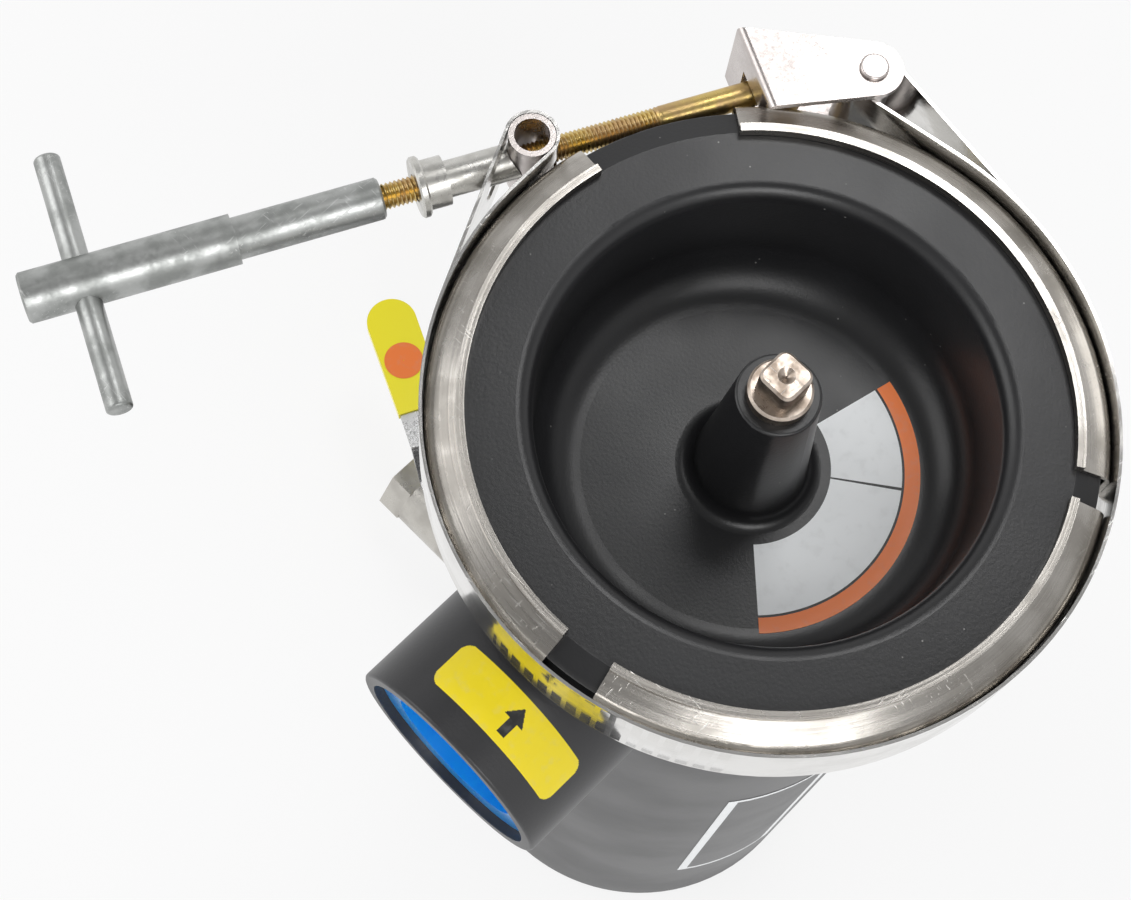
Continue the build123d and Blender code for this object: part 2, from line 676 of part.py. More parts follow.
valve_x, valve_y = polar_point(valve_along, drain_azimuth)
with BuildPart() as valve_body:
    with BuildSketch(outward_plane(drain_azimuth, valve_start, drain_z)):
        RegularPolygon(valve_hex / 2, 6, major_radius=False)
    extrude(amount=valve_hex_length)
    with BuildSketch(outward_plane(drain_azimuth, valve_along + valve_half_length, drain_z)):
        RegularPolygon(valve_hex / 2, 6, major_radius=False)
    extrude(amount=-valve_hex_length)
    with BuildSketch(outward_plane(drain_azimuth, valve_start + valve_hex_length, drain_z)):
        Circle(valve_body_radius)
    extrude(amount=2 * (valve_half_length - valve_hex_length))
    with BuildSketch(Plane.XY.offset(drain_z)):
        with Locations((valve_x, valve_y)):
            Circle(valve_neck_radius)
    extrude(amount=valve_neck_top)
    with BuildSketch(outward_plane(drain_azimuth, valve_start, drain_z)):
        Circle(valve_bore)
    extrude(amount=2 * valve_half_length, mode=Mode.SUBTRACT)
    for distance, depth in ((valve_start, nipple_hold), (valve_along + valve_half_length, -nipple_hold)):
        with BuildSketch(outward_plane(drain_azimuth, distance, drain_z)):
            Circle(nipple_radius + stem_play)
        extrude(amount=depth, mode=Mode.SUBTRACT)
    with Locations((valve_x, valve_y, drain_z)):
        Sphere(ball_radius + ball_play, mode=Mode.SUBTRACT)
    with BuildSketch(Plane.XY.offset(drain_z)):
        with Locations((valve_x, valve_y)):
            Circle(stem_radius + stem_play)
    extrude(amount=valve_neck_top, mode=Mode.SUBTRACT)
valve_body.part.label = "valve_body"
export_step(valve_body.part, "parts/valve_body.step")

with BuildPart() as packing_gland:
    with BuildSketch(Plane.XY.offset(drain_z + valve_neck_top)):
        with Locations((valve_x, valve_y)):
            RegularPolygon(packing_nut / 2, 6, major_radius=False)
            Circle(stem_radius + stem_play, mode=Mode.SUBTRACT)
    extrude(amount=packing_nut_height)
packing_gland.part.label = "packing_gland"
export_step(packing_gland.part, "parts/packing_gland.step")

lever_z = drain_z + valve_neck_top + packing_nut_height + lever_gap
lever_turn = radians(lever_angle)
ball_flat = sqrt(ball_radius**2 - (stem_radius + stem_play) ** 2) - ball_play
with BuildPart() as valve_ball:
    with Locations((valve_x, valve_y, drain_z)):
        Sphere(ball_radius)
    through = Plane(
        origin=(valve_x, valve_y, drain_z), x_dir=(0, 0, 1), z_dir=(cos(lever_turn), sin(lever_turn), 0),
    )
    with BuildSketch(through):
        Circle(nipple_bore)
    extrude(amount=ball_radius, both=True, mode=Mode.SUBTRACT)
    with BuildSketch(Plane.XY.offset(drain_z + ball_flat)):
        with Locations((valve_x, valve_y)):
            Circle(ball_radius)
    extrude(amount=ball_radius, mode=Mode.SUBTRACT)
valve_ball.part.label = "valve_ball"
export_step(valve_ball.part, "parts/valve_ball.step")

with BuildPart() as valve_stem:
    with BuildSketch(Plane.XY.offset(drain_z + ball_flat)):
        with Locations((valve_x, valve_y)):
            Circle(stem_radius)
    extrude(amount=lever_z + lever_thickness + lever_nut_height + stem_rise - drain_z - ball_flat)
    chamfer(valve_stem.edges().group_by(Axis.Z)[-1], stem_chamfer)
valve_stem.part.label = "valve_stem"
export_step(valve_stem.part, "parts/valve_stem.step")


def lever_strip(path, thickness, width, tip):
    """Strip of the lever along a path of (out, up) points, rounded in plan; returned as a solid."""
    along = (cos(lever_turn), sin(lever_turn), 0)
    side_plane = Plane(
        origin=(valve_x, valve_y, lever_z + lever_thickness / 2), x_dir=along, z_dir=(along[1], -along[0], 0),
    )
    plan_plane = Plane(origin=(valve_x, valve_y, lever_z - lever_crank), x_dir=along, z_dir=(0, 0, 1))
    with BuildPart() as strip:
        with BuildSketch(side_plane):
            with BuildLine():
                if len(path) > 2:
                    FilletPolyline(*path, radius=lever_thickness)
                else:
                    Line(*path)
            trace(line_width=thickness)
        extrude(amount=width, both=True)
        with BuildSketch(plan_plane) as outline:
            Circle(lever_hub_radius)
            with Locations((tip - width / 2, 0)):
                Circle(width / 2)
            make_hull(outline.edges())
        extrude(amount=4 * lever_crank, mode=Mode.INTERSECT)
    return strip.part


lever_path = [
    (-lever_hub_radius, 0), (lever_hub_radius, 0), (lever_hub_radius + lever_crank, lever_crank),
    (lever_length, lever_crank),
]
grip_path = [(grip_start, lever_crank), (lever_length + grip_wall, lever_crank)]
lever_plate = lever_strip(lever_path, lever_thickness, lever_width, lever_length)
grip_thickness = lever_thickness + 2 * grip_wall
grip_sleeve = lever_strip(grip_path, grip_thickness, lever_width + 2 * grip_wall, lever_length + grip_wall)
with BuildPart() as valve_lever:
    add(lever_plate)
    with BuildSketch(Plane.XY.offset(lever_z)):
        with Locations((valve_x, valve_y)):
            Circle(stem_radius + stem_play)
    extrude(amount=lever_thickness, mode=Mode.SUBTRACT)
valve_lever.part.label = "valve_lever"
export_step(valve_lever.part, "parts/valve_lever.step")

with BuildPart() as lever_grip:
    add(grip_sleeve)
    add(lever_plate, mode=Mode.SUBTRACT)
lever_grip.part.label = "lever_grip"
export_step(lever_grip.part, "parts/lever_grip.step")

with BuildPart() as lever_nut:
    with BuildSketch(Plane.XY.offset(lever_z + lever_thickness)):
        with Locations((valve_x, valve_y)):
            RegularPolygon(lever_nut_width / 2, 6, major_radius=False)
            Circle(stem_radius + stem_play, mode=Mode.SUBTRACT)
    extrude(amount=lever_nut_height)
lever_nut.part.label = "lever_nut"
export_step(lever_nut.part, "parts/lever_nut.step")

# The port caps: flanged cups with ribs to turn them by.
for name, (azimuth, height) in port_names.items():
    flange_seat = port_reach - port_mouth_depth + cap_play
    flange_face = flange_seat + cap_flange_thickness
    cup_floor = flange_face - cap_cup_depth
    cup_radius = port_bore_radius - cap_play
    with BuildPart() as port_cap:
        with BuildSketch(outward_plane(azimuth, flange_seat, height)):
            Circle(port_mouth_radius - cap_play)
        extrude(amount=cap_flange_thickness)
        with BuildSketch(outward_plane(azimuth, cup_floor, height)):
            Circle(cup_radius)
        extrude(amount=cap_cup_depth)
        with BuildSketch(outward_plane(azimuth, cup_floor + cap_wall, height)):
            Circle(cup_radius - cap_wall)
        extrude(amount=cap_cup_depth, mode=Mode.SUBTRACT)
        with BuildSketch(outward_plane(azimuth, cup_floor + cap_wall, height)):
            with PolarLocations(0, cap_ribs):
                Rectangle(cup_radius - cap_wall / 2, cap_wall, align=(Align.MIN, Align.CENTER))
        extrude(amount=cap_rib_height)
    port_cap.part.label = f"{name}_cap"
    export_step(port_cap.part, f"parts/{name}_cap.step")
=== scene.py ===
"""Looks of a bag filter housing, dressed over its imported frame.

The frame gives every solid at its real size and place. This file adds the finishes of all the
pieces, the rolled thread of the T-bolt, the felt bag, the stickers, the studio and the camera.
Every length is in metres, in the frame's own axes: +Z up the housing, -Y out of the inlet.
"""
import json
import logging
import math
from collections.abc import Callable
from dataclasses import dataclass, field
from enum import Enum

import bmesh
import bpy
from mathutils import Matrix, Vector
from mathutils.bvhtree import BVHTree

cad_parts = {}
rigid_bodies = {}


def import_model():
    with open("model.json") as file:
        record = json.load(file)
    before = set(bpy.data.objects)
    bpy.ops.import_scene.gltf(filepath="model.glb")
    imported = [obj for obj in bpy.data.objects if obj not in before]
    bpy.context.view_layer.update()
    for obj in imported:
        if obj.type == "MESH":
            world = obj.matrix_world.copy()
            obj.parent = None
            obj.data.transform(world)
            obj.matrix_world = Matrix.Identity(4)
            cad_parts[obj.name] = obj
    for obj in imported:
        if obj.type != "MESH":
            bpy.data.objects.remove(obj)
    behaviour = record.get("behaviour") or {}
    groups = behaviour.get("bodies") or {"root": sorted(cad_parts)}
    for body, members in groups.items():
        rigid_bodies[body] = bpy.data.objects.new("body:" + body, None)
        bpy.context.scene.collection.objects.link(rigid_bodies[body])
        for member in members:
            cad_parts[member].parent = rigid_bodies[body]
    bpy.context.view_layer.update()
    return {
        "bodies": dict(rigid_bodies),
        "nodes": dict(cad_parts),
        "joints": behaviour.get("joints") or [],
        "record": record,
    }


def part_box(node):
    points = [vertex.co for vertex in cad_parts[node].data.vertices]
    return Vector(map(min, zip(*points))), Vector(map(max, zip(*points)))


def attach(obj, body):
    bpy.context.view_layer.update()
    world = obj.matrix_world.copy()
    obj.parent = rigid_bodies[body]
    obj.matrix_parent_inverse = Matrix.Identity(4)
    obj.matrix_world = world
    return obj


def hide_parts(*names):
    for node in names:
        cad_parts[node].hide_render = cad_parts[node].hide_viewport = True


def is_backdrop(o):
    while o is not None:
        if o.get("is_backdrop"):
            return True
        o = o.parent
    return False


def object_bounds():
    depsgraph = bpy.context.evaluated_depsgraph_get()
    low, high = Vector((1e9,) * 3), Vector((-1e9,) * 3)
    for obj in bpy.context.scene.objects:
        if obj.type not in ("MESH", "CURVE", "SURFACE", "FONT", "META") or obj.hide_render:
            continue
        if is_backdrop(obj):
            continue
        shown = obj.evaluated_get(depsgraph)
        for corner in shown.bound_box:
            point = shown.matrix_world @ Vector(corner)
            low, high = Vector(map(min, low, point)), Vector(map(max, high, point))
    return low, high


MM = 0.001
Colour = tuple[float, float, float]
Socket = bpy.types.NodeSocket
Faces = list[tuple[int, ...]]

logging.basicConfig(level=logging.INFO, format="%(name)s: %(message)s")
log = logging.getLogger("housing")


class Flow(Enum):
    """Way in which the lines of a rolled or turned metal surface run."""

    ROUND_HOUSING = "round the housing's axis"
    ANY = "no direction"


# ---- shared node groups ---------------------------------------------------------------


class GroupBook:
    """Node groups that several finishes share, each made once."""

    def __init__(self) -> None:
        """Start with no group made."""
        self._made: dict[str, bpy.types.ShaderNodeTree] = {}

    def _new(self, name: str, inputs: dict[str, float], outputs: tuple[str, ...]) -> bpy.types.ShaderNodeTree:
        """Make an empty group with float inputs, a vector called Place, and float outputs.

        Args:
            name: the group's name.
            inputs: default value of each float input.
            outputs: names of the float outputs.

        Returns:
            The new group.
        """
        tree = bpy.data.node_groups.new(name, "ShaderNodeTree")
        tree.interface.new_socket("Place", in_out="INPUT", socket_type="NodeSocketVector")
        for label, value in inputs.items():
            socket = tree.interface.new_socket(label, in_out="INPUT", socket_type="NodeSocketFloat")
            socket.default_value = value
        for label in outputs:
            tree.interface.new_socket(label, in_out="OUTPUT", socket_type="NodeSocketFloat")
        tree.nodes.new("NodeGroupInput")
        tree.nodes.new("NodeGroupOutput")
        self._made[name] = tree
        return tree

    def grain(self) -> bpy.types.ShaderNodeTree:
        """Fine moulded grain.

        Returns:
            A group with inputs Scale and Coarse and output Height.
        """
        if "moulded_grain" in self._made:
            return self._made["moulded_grain"]
        tree = self._new("moulded_grain", {"Scale": 900.0, "Coarse": 0.35}, ("Height",))
        graph = Graph(tree)
        source = graph.first("NodeGroupInput")
        fine = graph.noise(source.outputs["Place"], 1.0, detail=3.0)
        graph.link(source.outputs["Scale"], fine.inputs["Scale"])
        wide_scale = graph.maths("MULTIPLY", source.outputs["Scale"], 0.16)
        wide = graph.noise(source.outputs["Place"], 1.0, detail=2.0)
        graph.link(wide_scale, wide.inputs["Scale"])
        wide_part = graph.maths("MULTIPLY", wide.outputs["Fac"], source.outputs["Coarse"])
        height = graph.maths("ADD", fine.outputs["Fac"], wide_part)
        graph.link(height, graph.first("NodeGroupOutput").inputs["Height"])
        return tree

    def scuffs(self) -> bpy.types.ShaderNodeTree:
        """Thin scratches in two directions, broken up in patches.

        Returns:
            A group with inputs Scale and Amount and output Mask.
        """
        if "scuffs" in self._made:
            return self._made["scuffs"]
        tree = self._new("scuffs", {"Scale": 60.0, "Amount": 0.5}, ("Mask",))
        graph = Graph(tree)
        source = graph.first("NodeGroupInput")
        layers = []
        for turn, stretch in ((0.5, (1.0, 22.0, 9.0)), (2.1, (19.0, 1.0, 8.0))):
            mapping = graph.node("ShaderNodeMapping")
            mapping.inputs["Rotation"].default_value = (turn, 0.4 * turn, turn)
            mapping.inputs["Scale"].default_value = stretch
            graph.link(source.outputs["Place"], mapping.inputs["Vector"])
            lines = graph.noise(mapping.outputs["Vector"], 1.0, detail=1.0)
            graph.link(source.outputs["Scale"], lines.inputs["Scale"])
            layers.append(graph.ramp(lines.outputs["Fac"], 0.66, 0.72))
        both = graph.maths("MAXIMUM", layers[0], layers[1])
        patches = graph.noise(source.outputs["Place"], 1.0, detail=2.0)
        patch_scale = graph.maths("MULTIPLY", source.outputs["Scale"], 0.55)
        graph.link(patch_scale, patches.inputs["Scale"])
        cover = graph.ramp(patches.outputs["Fac"], 0.45, 0.62)
        mask = graph.maths("MULTIPLY", both, cover)
        mask = graph.maths("MULTIPLY", mask, source.outputs["Amount"])
        graph.link(mask, graph.first("NodeGroupOutput").inputs["Mask"])
        return tree

    def dust(self) -> bpy.types.ShaderNodeTree:
        """Sparse specks and soft smudges.

        Returns:
            A group with inputs Scale and Amount and outputs Specks and Smudge.
        """
        if "dust" in self._made:
            return self._made["dust"]
        tree = self._new("dust", {"Scale": 40.0, "Amount": 0.5}, ("Specks", "Smudge"))
        graph = Graph(tree)
        source = graph.first("NodeGroupInput")
        target = graph.first("NodeGroupOutput")
        cells = graph.node("ShaderNodeTexVoronoi")
        graph.link(source.outputs["Place"], cells.inputs["Vector"])
        cell_scale = graph.maths("MULTIPLY", source.outputs["Scale"], 5.0)
        graph.link(cell_scale, cells.inputs["Scale"])
        near = graph.ramp(cells.outputs["Distance"], 0.09, 0.03)
        chance = graph.noise(source.outputs["Place"], 1.0, detail=1.0)
        graph.link(source.outputs["Scale"], chance.inputs["Scale"])
        sparse = graph.ramp(chance.outputs["Fac"], 0.58, 0.66)
        specks = graph.maths("MULTIPLY", near, sparse)
        specks = graph.maths("MULTIPLY", specks, source.outputs["Amount"])
        graph.link(specks, target.inputs["Specks"])
        cloud = graph.noise(source.outputs["Place"], 1.0, detail=5.0)
        cloud_scale = graph.maths("MULTIPLY", source.outputs["Scale"], 0.35)
        graph.link(cloud_scale, cloud.inputs["Scale"])
        smudge = graph.ramp(cloud.outputs["Fac"], 0.35, 0.75)
        graph.link(graph.maths("MULTIPLY", smudge, source.outputs["Amount"]), target.inputs["Smudge"])
        return tree

    def edge_wear(self) -> bpy.types.ShaderNodeTree:
        """Rubbed corners, broken up so that they don't run on evenly.

        Returns:
            A group with inputs Radius and Amount and output Mask.
        """
        if "edge_wear" in self._made:
            return self._made["edge_wear"]
        tree = self._new("edge_wear", {"Radius": 0.0008, "Amount": 0.6}, ("Mask",))
        graph = Graph(tree)
        source = graph.first("NodeGroupInput")
        rounded = graph.node("ShaderNodeBevel")
        rounded.samples = 2
        graph.link(source.outputs["Radius"], rounded.inputs["Radius"])
        true_face = graph.node("ShaderNodeNewGeometry")
        agree = graph.node("ShaderNodeVectorMath")
        agree.operation = "DOT_PRODUCT"
        graph.link(rounded.outputs["Normal"], agree.inputs[0])
        graph.link(true_face.outputs["Normal"], agree.inputs[1])
        corner = graph.ramp(agree.outputs["Value"], 0.99, 0.86)
        broken = graph.noise(source.outputs["Place"], 210.0, detail=4.0)
        mask = graph.maths("MULTIPLY", corner, graph.ramp(broken.outputs["Fac"], 0.34, 0.62))
        mask = graph.maths("MULTIPLY", mask, source.outputs["Amount"])
        graph.link(mask, graph.first("NodeGroupOutput").inputs["Mask"])
        return tree

    def brushed(self, flow: Flow) -> bpy.types.ShaderNodeTree:
        """Fine lines that follow the way the metal was rolled or turned.

        Args:
            flow: direction of the lines.

        Returns:
            A group with inputs Scale and Depth and output Lines.
        """
        name = f"brushed_{flow.name.lower()}"
        if name in self._made:
            return self._made[name]
        tree = self._new(name, {"Scale": 500.0, "Depth": 1.0}, ("Lines",))
        graph = Graph(tree)
        source = graph.first("NodeGroupInput")
        if flow is Flow.ROUND_HOUSING:
            parts = graph.node("ShaderNodeSeparateXYZ")
            graph.link(source.outputs["Place"], parts.inputs["Vector"])
            across = graph.maths("MULTIPLY", parts.outputs["X"], parts.outputs["X"])
            along = graph.maths("MULTIPLY", parts.outputs["Y"], parts.outputs["Y"])
            radius = graph.maths("SQRT", graph.maths("ADD", across, along), 0.0)
            angle = graph.maths("ARCTAN2", parts.outputs["Y"], parts.outputs["X"])
            joined = graph.node("ShaderNodeCombineXYZ")
            graph.link(radius, joined.inputs["X"])
            graph.link(graph.maths("MULTIPLY", angle, 0.0012), joined.inputs["Y"])
            graph.link(parts.outputs["Z"], joined.inputs["Z"])
            place = joined.outputs["Vector"]
        else:
            place = source.outputs["Place"]
        lines = graph.noise(place, 1.0, detail=4.0)
        graph.link(source.outputs["Scale"], lines.inputs["Scale"])
        centred = graph.maths("SUBTRACT", lines.outputs["Fac"], 0.5)
        graph.link(graph.maths("MULTIPLY", centred, source.outputs["Depth"]),
                   graph.first("NodeGroupOutput").inputs["Lines"])
        return tree


class Graph:
    """Short calls that add and link shader nodes in one tree."""

    def __init__(self, tree: bpy.types.ShaderNodeTree) -> None:
        """Work in this tree."""
        self.tree = tree

    def node(self, kind: str) -> bpy.types.Node:
        """Add a node of a kind."""
        return self.tree.nodes.new(kind)

    def first(self, kind: str) -> bpy.types.Node:
        """First node of a kind that is already in the tree."""
        return next(node for node in self.tree.nodes if node.bl_idname == kind)

    def link(self, source: Socket, target: Socket) -> None:
        """Link an output to an input."""
        self.tree.links.new(source, target)

    def noise(self, place: Socket, scale: float, detail: float) -> bpy.types.Node:
        """Noise texture over a place.

        Args:
            place: socket with the place.
            scale: how fine the noise is.
            detail: how many finer layers it has.

        Returns:
            The noise node.
        """
        node = self.node("ShaderNodeTexNoise")
        node.inputs["Scale"].default_value = scale
        node.inputs["Detail"].default_value = detail
        self.link(place, node.inputs["Vector"])
        return node

    def maths(self, operation: str, first: Socket | float, second: Socket | float) -> Socket:
        """Math node between sockets or plain numbers.

        Args:
            operation: name of the operation.
            first: socket or number.
            second: socket or number.

        Returns:
            The result's socket.
        """
        node = self.node("ShaderNodeMath")
        node.operation = operation
        for index, value in enumerate((first, second)):
            if isinstance(value, (int, float)):
                node.inputs[index].default_value = value
            else:
                self.link(value, node.inputs[index])
        return node.outputs["Value"]

    def ramp(self, value: Socket, low: float, high: float) -> Socket:
        """Smooth step of a value.

        Args:
            value: socket with the value.
            low: where the step is at 0.
            high: where the step is at 1, which may be below low.

        Returns:
            The step's socket.
        """
        node = self.node("ShaderNodeMapRange")
        node.interpolation_type = "SMOOTHSTEP"
        node.inputs["From Min"].default_value = low
        node.inputs["From Max"].default_value = high
        self.link(value, node.inputs["Value"])
        return node.outputs["Result"]

    def spread(self, value: Socket, low: float, high: float) -> Socket:
        """Value from 0..1 spread over a range.

        Args:
            value: socket with the value.
            low: result at 0.
            high: result at 1.

        Returns:
            The result's socket.
        """
        node = self.node("ShaderNodeMapRange")
        node.inputs["To Min"].default_value = low
        node.inputs["To Max"].default_value = high
        self.link(value, node.inputs["Value"])
        return node.outputs["Result"]

    def mix(self, factor: Socket, first: Socket | Colour, second: Socket | Colour) -> Socket:
        """Colour mix between sockets or plain colours.

        Args:
            factor: how much of the second colour.
            first: socket or colour.
            second: socket or colour.

        Returns:
            The mixed colour's socket.
        """
        node = self.node("ShaderNodeMix")
        node.data_type = "RGBA"
        self.link(factor, node.inputs["Factor"])
        sockets = [socket for socket in node.inputs if socket.type == "RGBA"]
        for socket, value in zip(sockets, (first, second)):
            if isinstance(value, tuple):
                socket.default_value = (*value, 1.0)
            else:
                self.link(value, socket)
        return next(socket for socket in node.outputs if socket.type == "RGBA")

    def group(
        self, tree: bpy.types.ShaderNodeTree, place: Socket, **values: float,
    ) -> bpy.types.Node:
        """Place a shared group and set its inputs.

        Args:
            tree: the group.
            place: socket with the place on the surface.
            values: value of each float input.

        Returns:
            The group's node.
        """
        node = self.node("ShaderNodeGroup")
        node.node_tree = tree
        self.link(place, node.inputs["Place"])
        for label, value in values.items():
            node.inputs[label].default_value = value
        return node

    def bump(self, height: Socket, strength: float, distance: float) -> Socket:
        """Bump node fed by a height.

        Args:
            height: socket with the height.
            strength: how much of the bump shows.
            distance: real size of a height of 1.

        Returns:
            The bent normal's socket.
        """
        node = self.node("ShaderNodeBump")
        node.inputs["Strength"].default_value = strength
        node.inputs["Distance"].default_value = distance
        self.link(height, node.inputs["Height"])
        return node.outputs["Normal"]


GROUPS = GroupBook()


@dataclass(frozen=True)
class Finish:
    """What every finish has: a name, a base colour and a mean roughness."""

    name: str
    colour: Colour
    roughness: float = 0.5

    def material(self) -> bpy.types.Material:
        """Make the material, or give back the one made before.

        Returns:
            The material.
        """
        made = bpy.data.materials.get(f"finish_{self.name}")
        if made:
            return made
        material = bpy.data.materials.new(f"finish_{self.name}")
        material.use_nodes = True
        graph = Graph(material.node_tree)
        shader = graph.first("ShaderNodeBsdfPrincipled")
        shader.inputs["Base Color"].default_value = (*self.colour, 1.0)
        shader.inputs["Roughness"].default_value = self.roughness
        place = graph.node("ShaderNodeTexCoord").outputs["Object"]
        self.paint(graph, shader, place)
        return material

    def paint(self, graph: Graph, shader: bpy.types.Node, place: Socket) -> None:
        """Fill in the nodes that make this finish."""
        raise NotImplementedError


@dataclass(frozen=True)
class Moulded(Finish):
    """Moulded plastic with a fine grain, soft smudges and a few specks of dust."""

    bloom: Colour = (0.11, 0.11, 0.115)
    grain_scale: float = 900.0
    grain_depth: float = 0.25
    dust: float = 0.5
    coat: float = 0.0
    glow: float = 0.0
    wear: float = 0.35
    worn: Colour = (0.30, 0.30, 0.30)
    speck: Colour = (0.45, 0.44, 0.42)
    coat_roughness: float = 0.25
    edge_radius: float = 0.9 * MM
    grain_height: float = 0.2 * MM

    def paint(self, graph: Graph, shader: bpy.types.Node, place: Socket) -> None:
        """Grain in the normal, smudges in roughness, dust in the colour.

        Args:
            graph: the material's nodes.
            shader: its Principled node.
            place: socket with the place on the surface.
        """
        grain = graph.group(GROUPS.grain(), place, Scale=self.grain_scale, Coarse=0.4)
        dust = graph.group(GROUPS.dust(), place, Scale=42.0, Amount=self.dust)
        smudged = graph.mix(graph.maths("MULTIPLY", dust.outputs["Smudge"], 0.35), self.colour, self.bloom)
        dusty = graph.mix(dust.outputs["Specks"], smudged, self.speck)
        edges = graph.group(GROUPS.edge_wear(), place, Radius=self.edge_radius, Amount=self.wear)
        rubbed = graph.mix(edges.outputs["Mask"], dusty, self.worn)
        graph.link(rubbed, shader.inputs["Base Color"])
        rough = graph.spread(dust.outputs["Smudge"], self.roughness - 0.05, self.roughness + 0.13)
        graph.link(rough, shader.inputs["Roughness"])
        bent = graph.bump(grain.outputs["Height"], self.grain_depth, self.grain_height)
        graph.link(bent, shader.inputs["Normal"])
        shader.inputs["Coat Weight"].default_value = self.coat
        shader.inputs["Coat Roughness"].default_value = self.coat_roughness
        if self.glow:
            shader.inputs["Subsurface Weight"].default_value = self.glow
            shader.inputs["Subsurface Radius"].default_value = (0.004, 0.008, 0.014)


@dataclass(frozen=True)
class Metal(Finish):
    """Bare or plated metal with rolling lines, scratches and a second tone in patches."""

    tone: Colour = (0.5, 0.5, 0.5)
    flow: Flow = Flow.ANY
    line_scale: float = 700.0
    line_depth: float = 0.25
    patch_scale: float = 60.0
    patch_amount: float = 0.5
    scuff: float = 0.4
    edge_radius: float = 0.5 * MM
    edge_amount: float = 0.7
    line_height: float = 0.12 * MM

    def paint(self, graph: Graph, shader: bpy.types.Node, place: Socket) -> None:
        """Patches and scratches in the colour, lines in roughness and normal.

        Args:
            graph: the material's nodes.
            shader: its Principled node.
            place: socket with the place on the surface.
        """
        shader.inputs["Metallic"].default_value = 1.0
        lines = graph.group(GROUPS.brushed(self.flow), place, Scale=self.line_scale, Depth=1.0)
        scuffs = graph.group(GROUPS.scuffs(), place, Scale=90.0, Amount=self.scuff)
        patches = graph.noise(place, self.patch_scale, detail=5.0)
        cover = graph.ramp(patches.outputs["Fac"], 0.38, 0.66)
        plated = graph.mix(graph.maths("MULTIPLY", cover, self.patch_amount), self.colour, self.tone)
        edges = graph.group(GROUPS.edge_wear(), place, Radius=self.edge_radius, Amount=self.edge_amount)
        rubbed = graph.maths("MAXIMUM", scuffs.outputs["Mask"], edges.outputs["Mask"])
        worn = graph.mix(rubbed, plated, tuple(0.3 + 0.6 * c for c in self.colour))
        graph.link(worn, shader.inputs["Base Color"])
        shift = graph.maths("MULTIPLY", lines.outputs["Lines"], 0.3)
        rough = graph.maths("ADD", shift, self.roughness)
        rough = graph.maths("ADD", rough, graph.maths("MULTIPLY", cover, 0.08))
        graph.link(graph.maths("ADD", rough, graph.maths("MULTIPLY", scuffs.outputs["Mask"], 0.12)),
                   shader.inputs["Roughness"])
        height = graph.maths("SUBTRACT", lines.outputs["Lines"], scuffs.outputs["Mask"])
        graph.link(graph.bump(height, self.line_depth, self.line_height), shader.inputs["Normal"])


@dataclass(frozen=True)
class Printed(Finish):
    """Printed vinyl sticker with a slightly uneven face."""

    def paint(self, graph: Graph, shader: bpy.types.Node, place: Socket) -> None:
        """Soft ripples and faint rubbed patches.

        Args:
            graph: the material's nodes.
            shader: its Principled node.
            place: socket with the place on the surface.
        """
        ripple = graph.noise(place, 70.0, detail=2.0)
        rub = graph.noise(place, 260.0, detail=4.0)
        faded = tuple(min(1.0, 0.88 * c + 0.05) for c in self.colour)
        tone = graph.mix(graph.ramp(rub.outputs["Fac"], 0.5, 0.75), self.colour, faded)
        graph.link(tone, shader.inputs["Base Color"])
        graph.link(graph.spread(rub.outputs["Fac"], self.roughness - 0.06, self.roughness + 0.1),
                   shader.inputs["Roughness"])
        graph.link(graph.bump(ripple.outputs["Fac"], 0.15, 0.0004), shader.inputs["Normal"])


@dataclass(frozen=True)
class Felt(Finish):
    """Needled felt: matt, with tangled fibres."""

    def paint(self, graph: Graph, shader: bpy.types.Node, place: Socket) -> None:
        """Fibres in the colour and the normal.

        Args:
            graph: the material's nodes.
            shader: its Principled node.
            place: socket with the place on the surface.
        """
        fibre = graph.noise(place, 1400.0, detail=6.0)
        tangle = graph.ramp(fibre.outputs["Fac"], 0.35, 0.7)
        tone = graph.mix(tangle, self.colour, tuple(0.8 * c for c in self.colour))
        graph.link(tone, shader.inputs["Base Color"])
        graph.link(graph.bump(fibre.outputs["Fac"], 0.6, 0.0006), shader.inputs["Normal"])
        shader.inputs["Sheen Weight"].default_value = 0.25


BODY_PLASTIC = Moulded("body_plastic", (0.022, 0.022, 0.024), 0.40, bloom=(0.06, 0.06, 0.064), dust=0.5)
LID_PLASTIC = Moulded("lid_plastic", (0.012, 0.012, 0.013), 0.36, bloom=(0.035, 0.036, 0.04), dust=0.55)
BASKET_PLASTIC = Moulded("basket_plastic", (0.03, 0.03, 0.032), 0.5)
RING_PLASTIC = Moulded("ring_plastic", (0.78, 0.77, 0.72), 0.45, bloom=(0.7, 0.69, 0.65), dust=0.2)
CAP_PLASTIC = Moulded(
    "cap_plastic", (0.01, 0.30, 0.80), 0.24, bloom=(0.05, 0.48, 0.92), grain_depth=0.1, dust=0.2,
    coat=0.4, glow=0.55,
)
GRIP_VINYL = Moulded(
    "grip_vinyl", (0.97, 0.86, 0.01), 0.30, bloom=(0.96, 0.86, 0.08), grain_depth=0.15, dust=0.15, coat=0.3,
)
SEAL_RUBBER = Moulded("seal_rubber", (0.015, 0.015, 0.015), 0.6, bloom=(0.03, 0.03, 0.03))
RETAINER_STEEL = Metal(
    "retainer_steel", (0.52, 0.495, 0.46), 0.22, tone=(0.28, 0.26, 0.235), flow=Flow.ROUND_HOUSING,
    line_scale=900.0, line_depth=0.35, patch_amount=0.6, scuff=0.5,
)
STRAP_STEEL = Metal(
    "strap_steel", (0.72, 0.71, 0.69), 0.13, tone=(0.55, 0.54, 0.52), flow=Flow.ROUND_HOUSING,
    line_scale=700.0, line_depth=0.12, patch_amount=0.3, scuff=0.35,
)
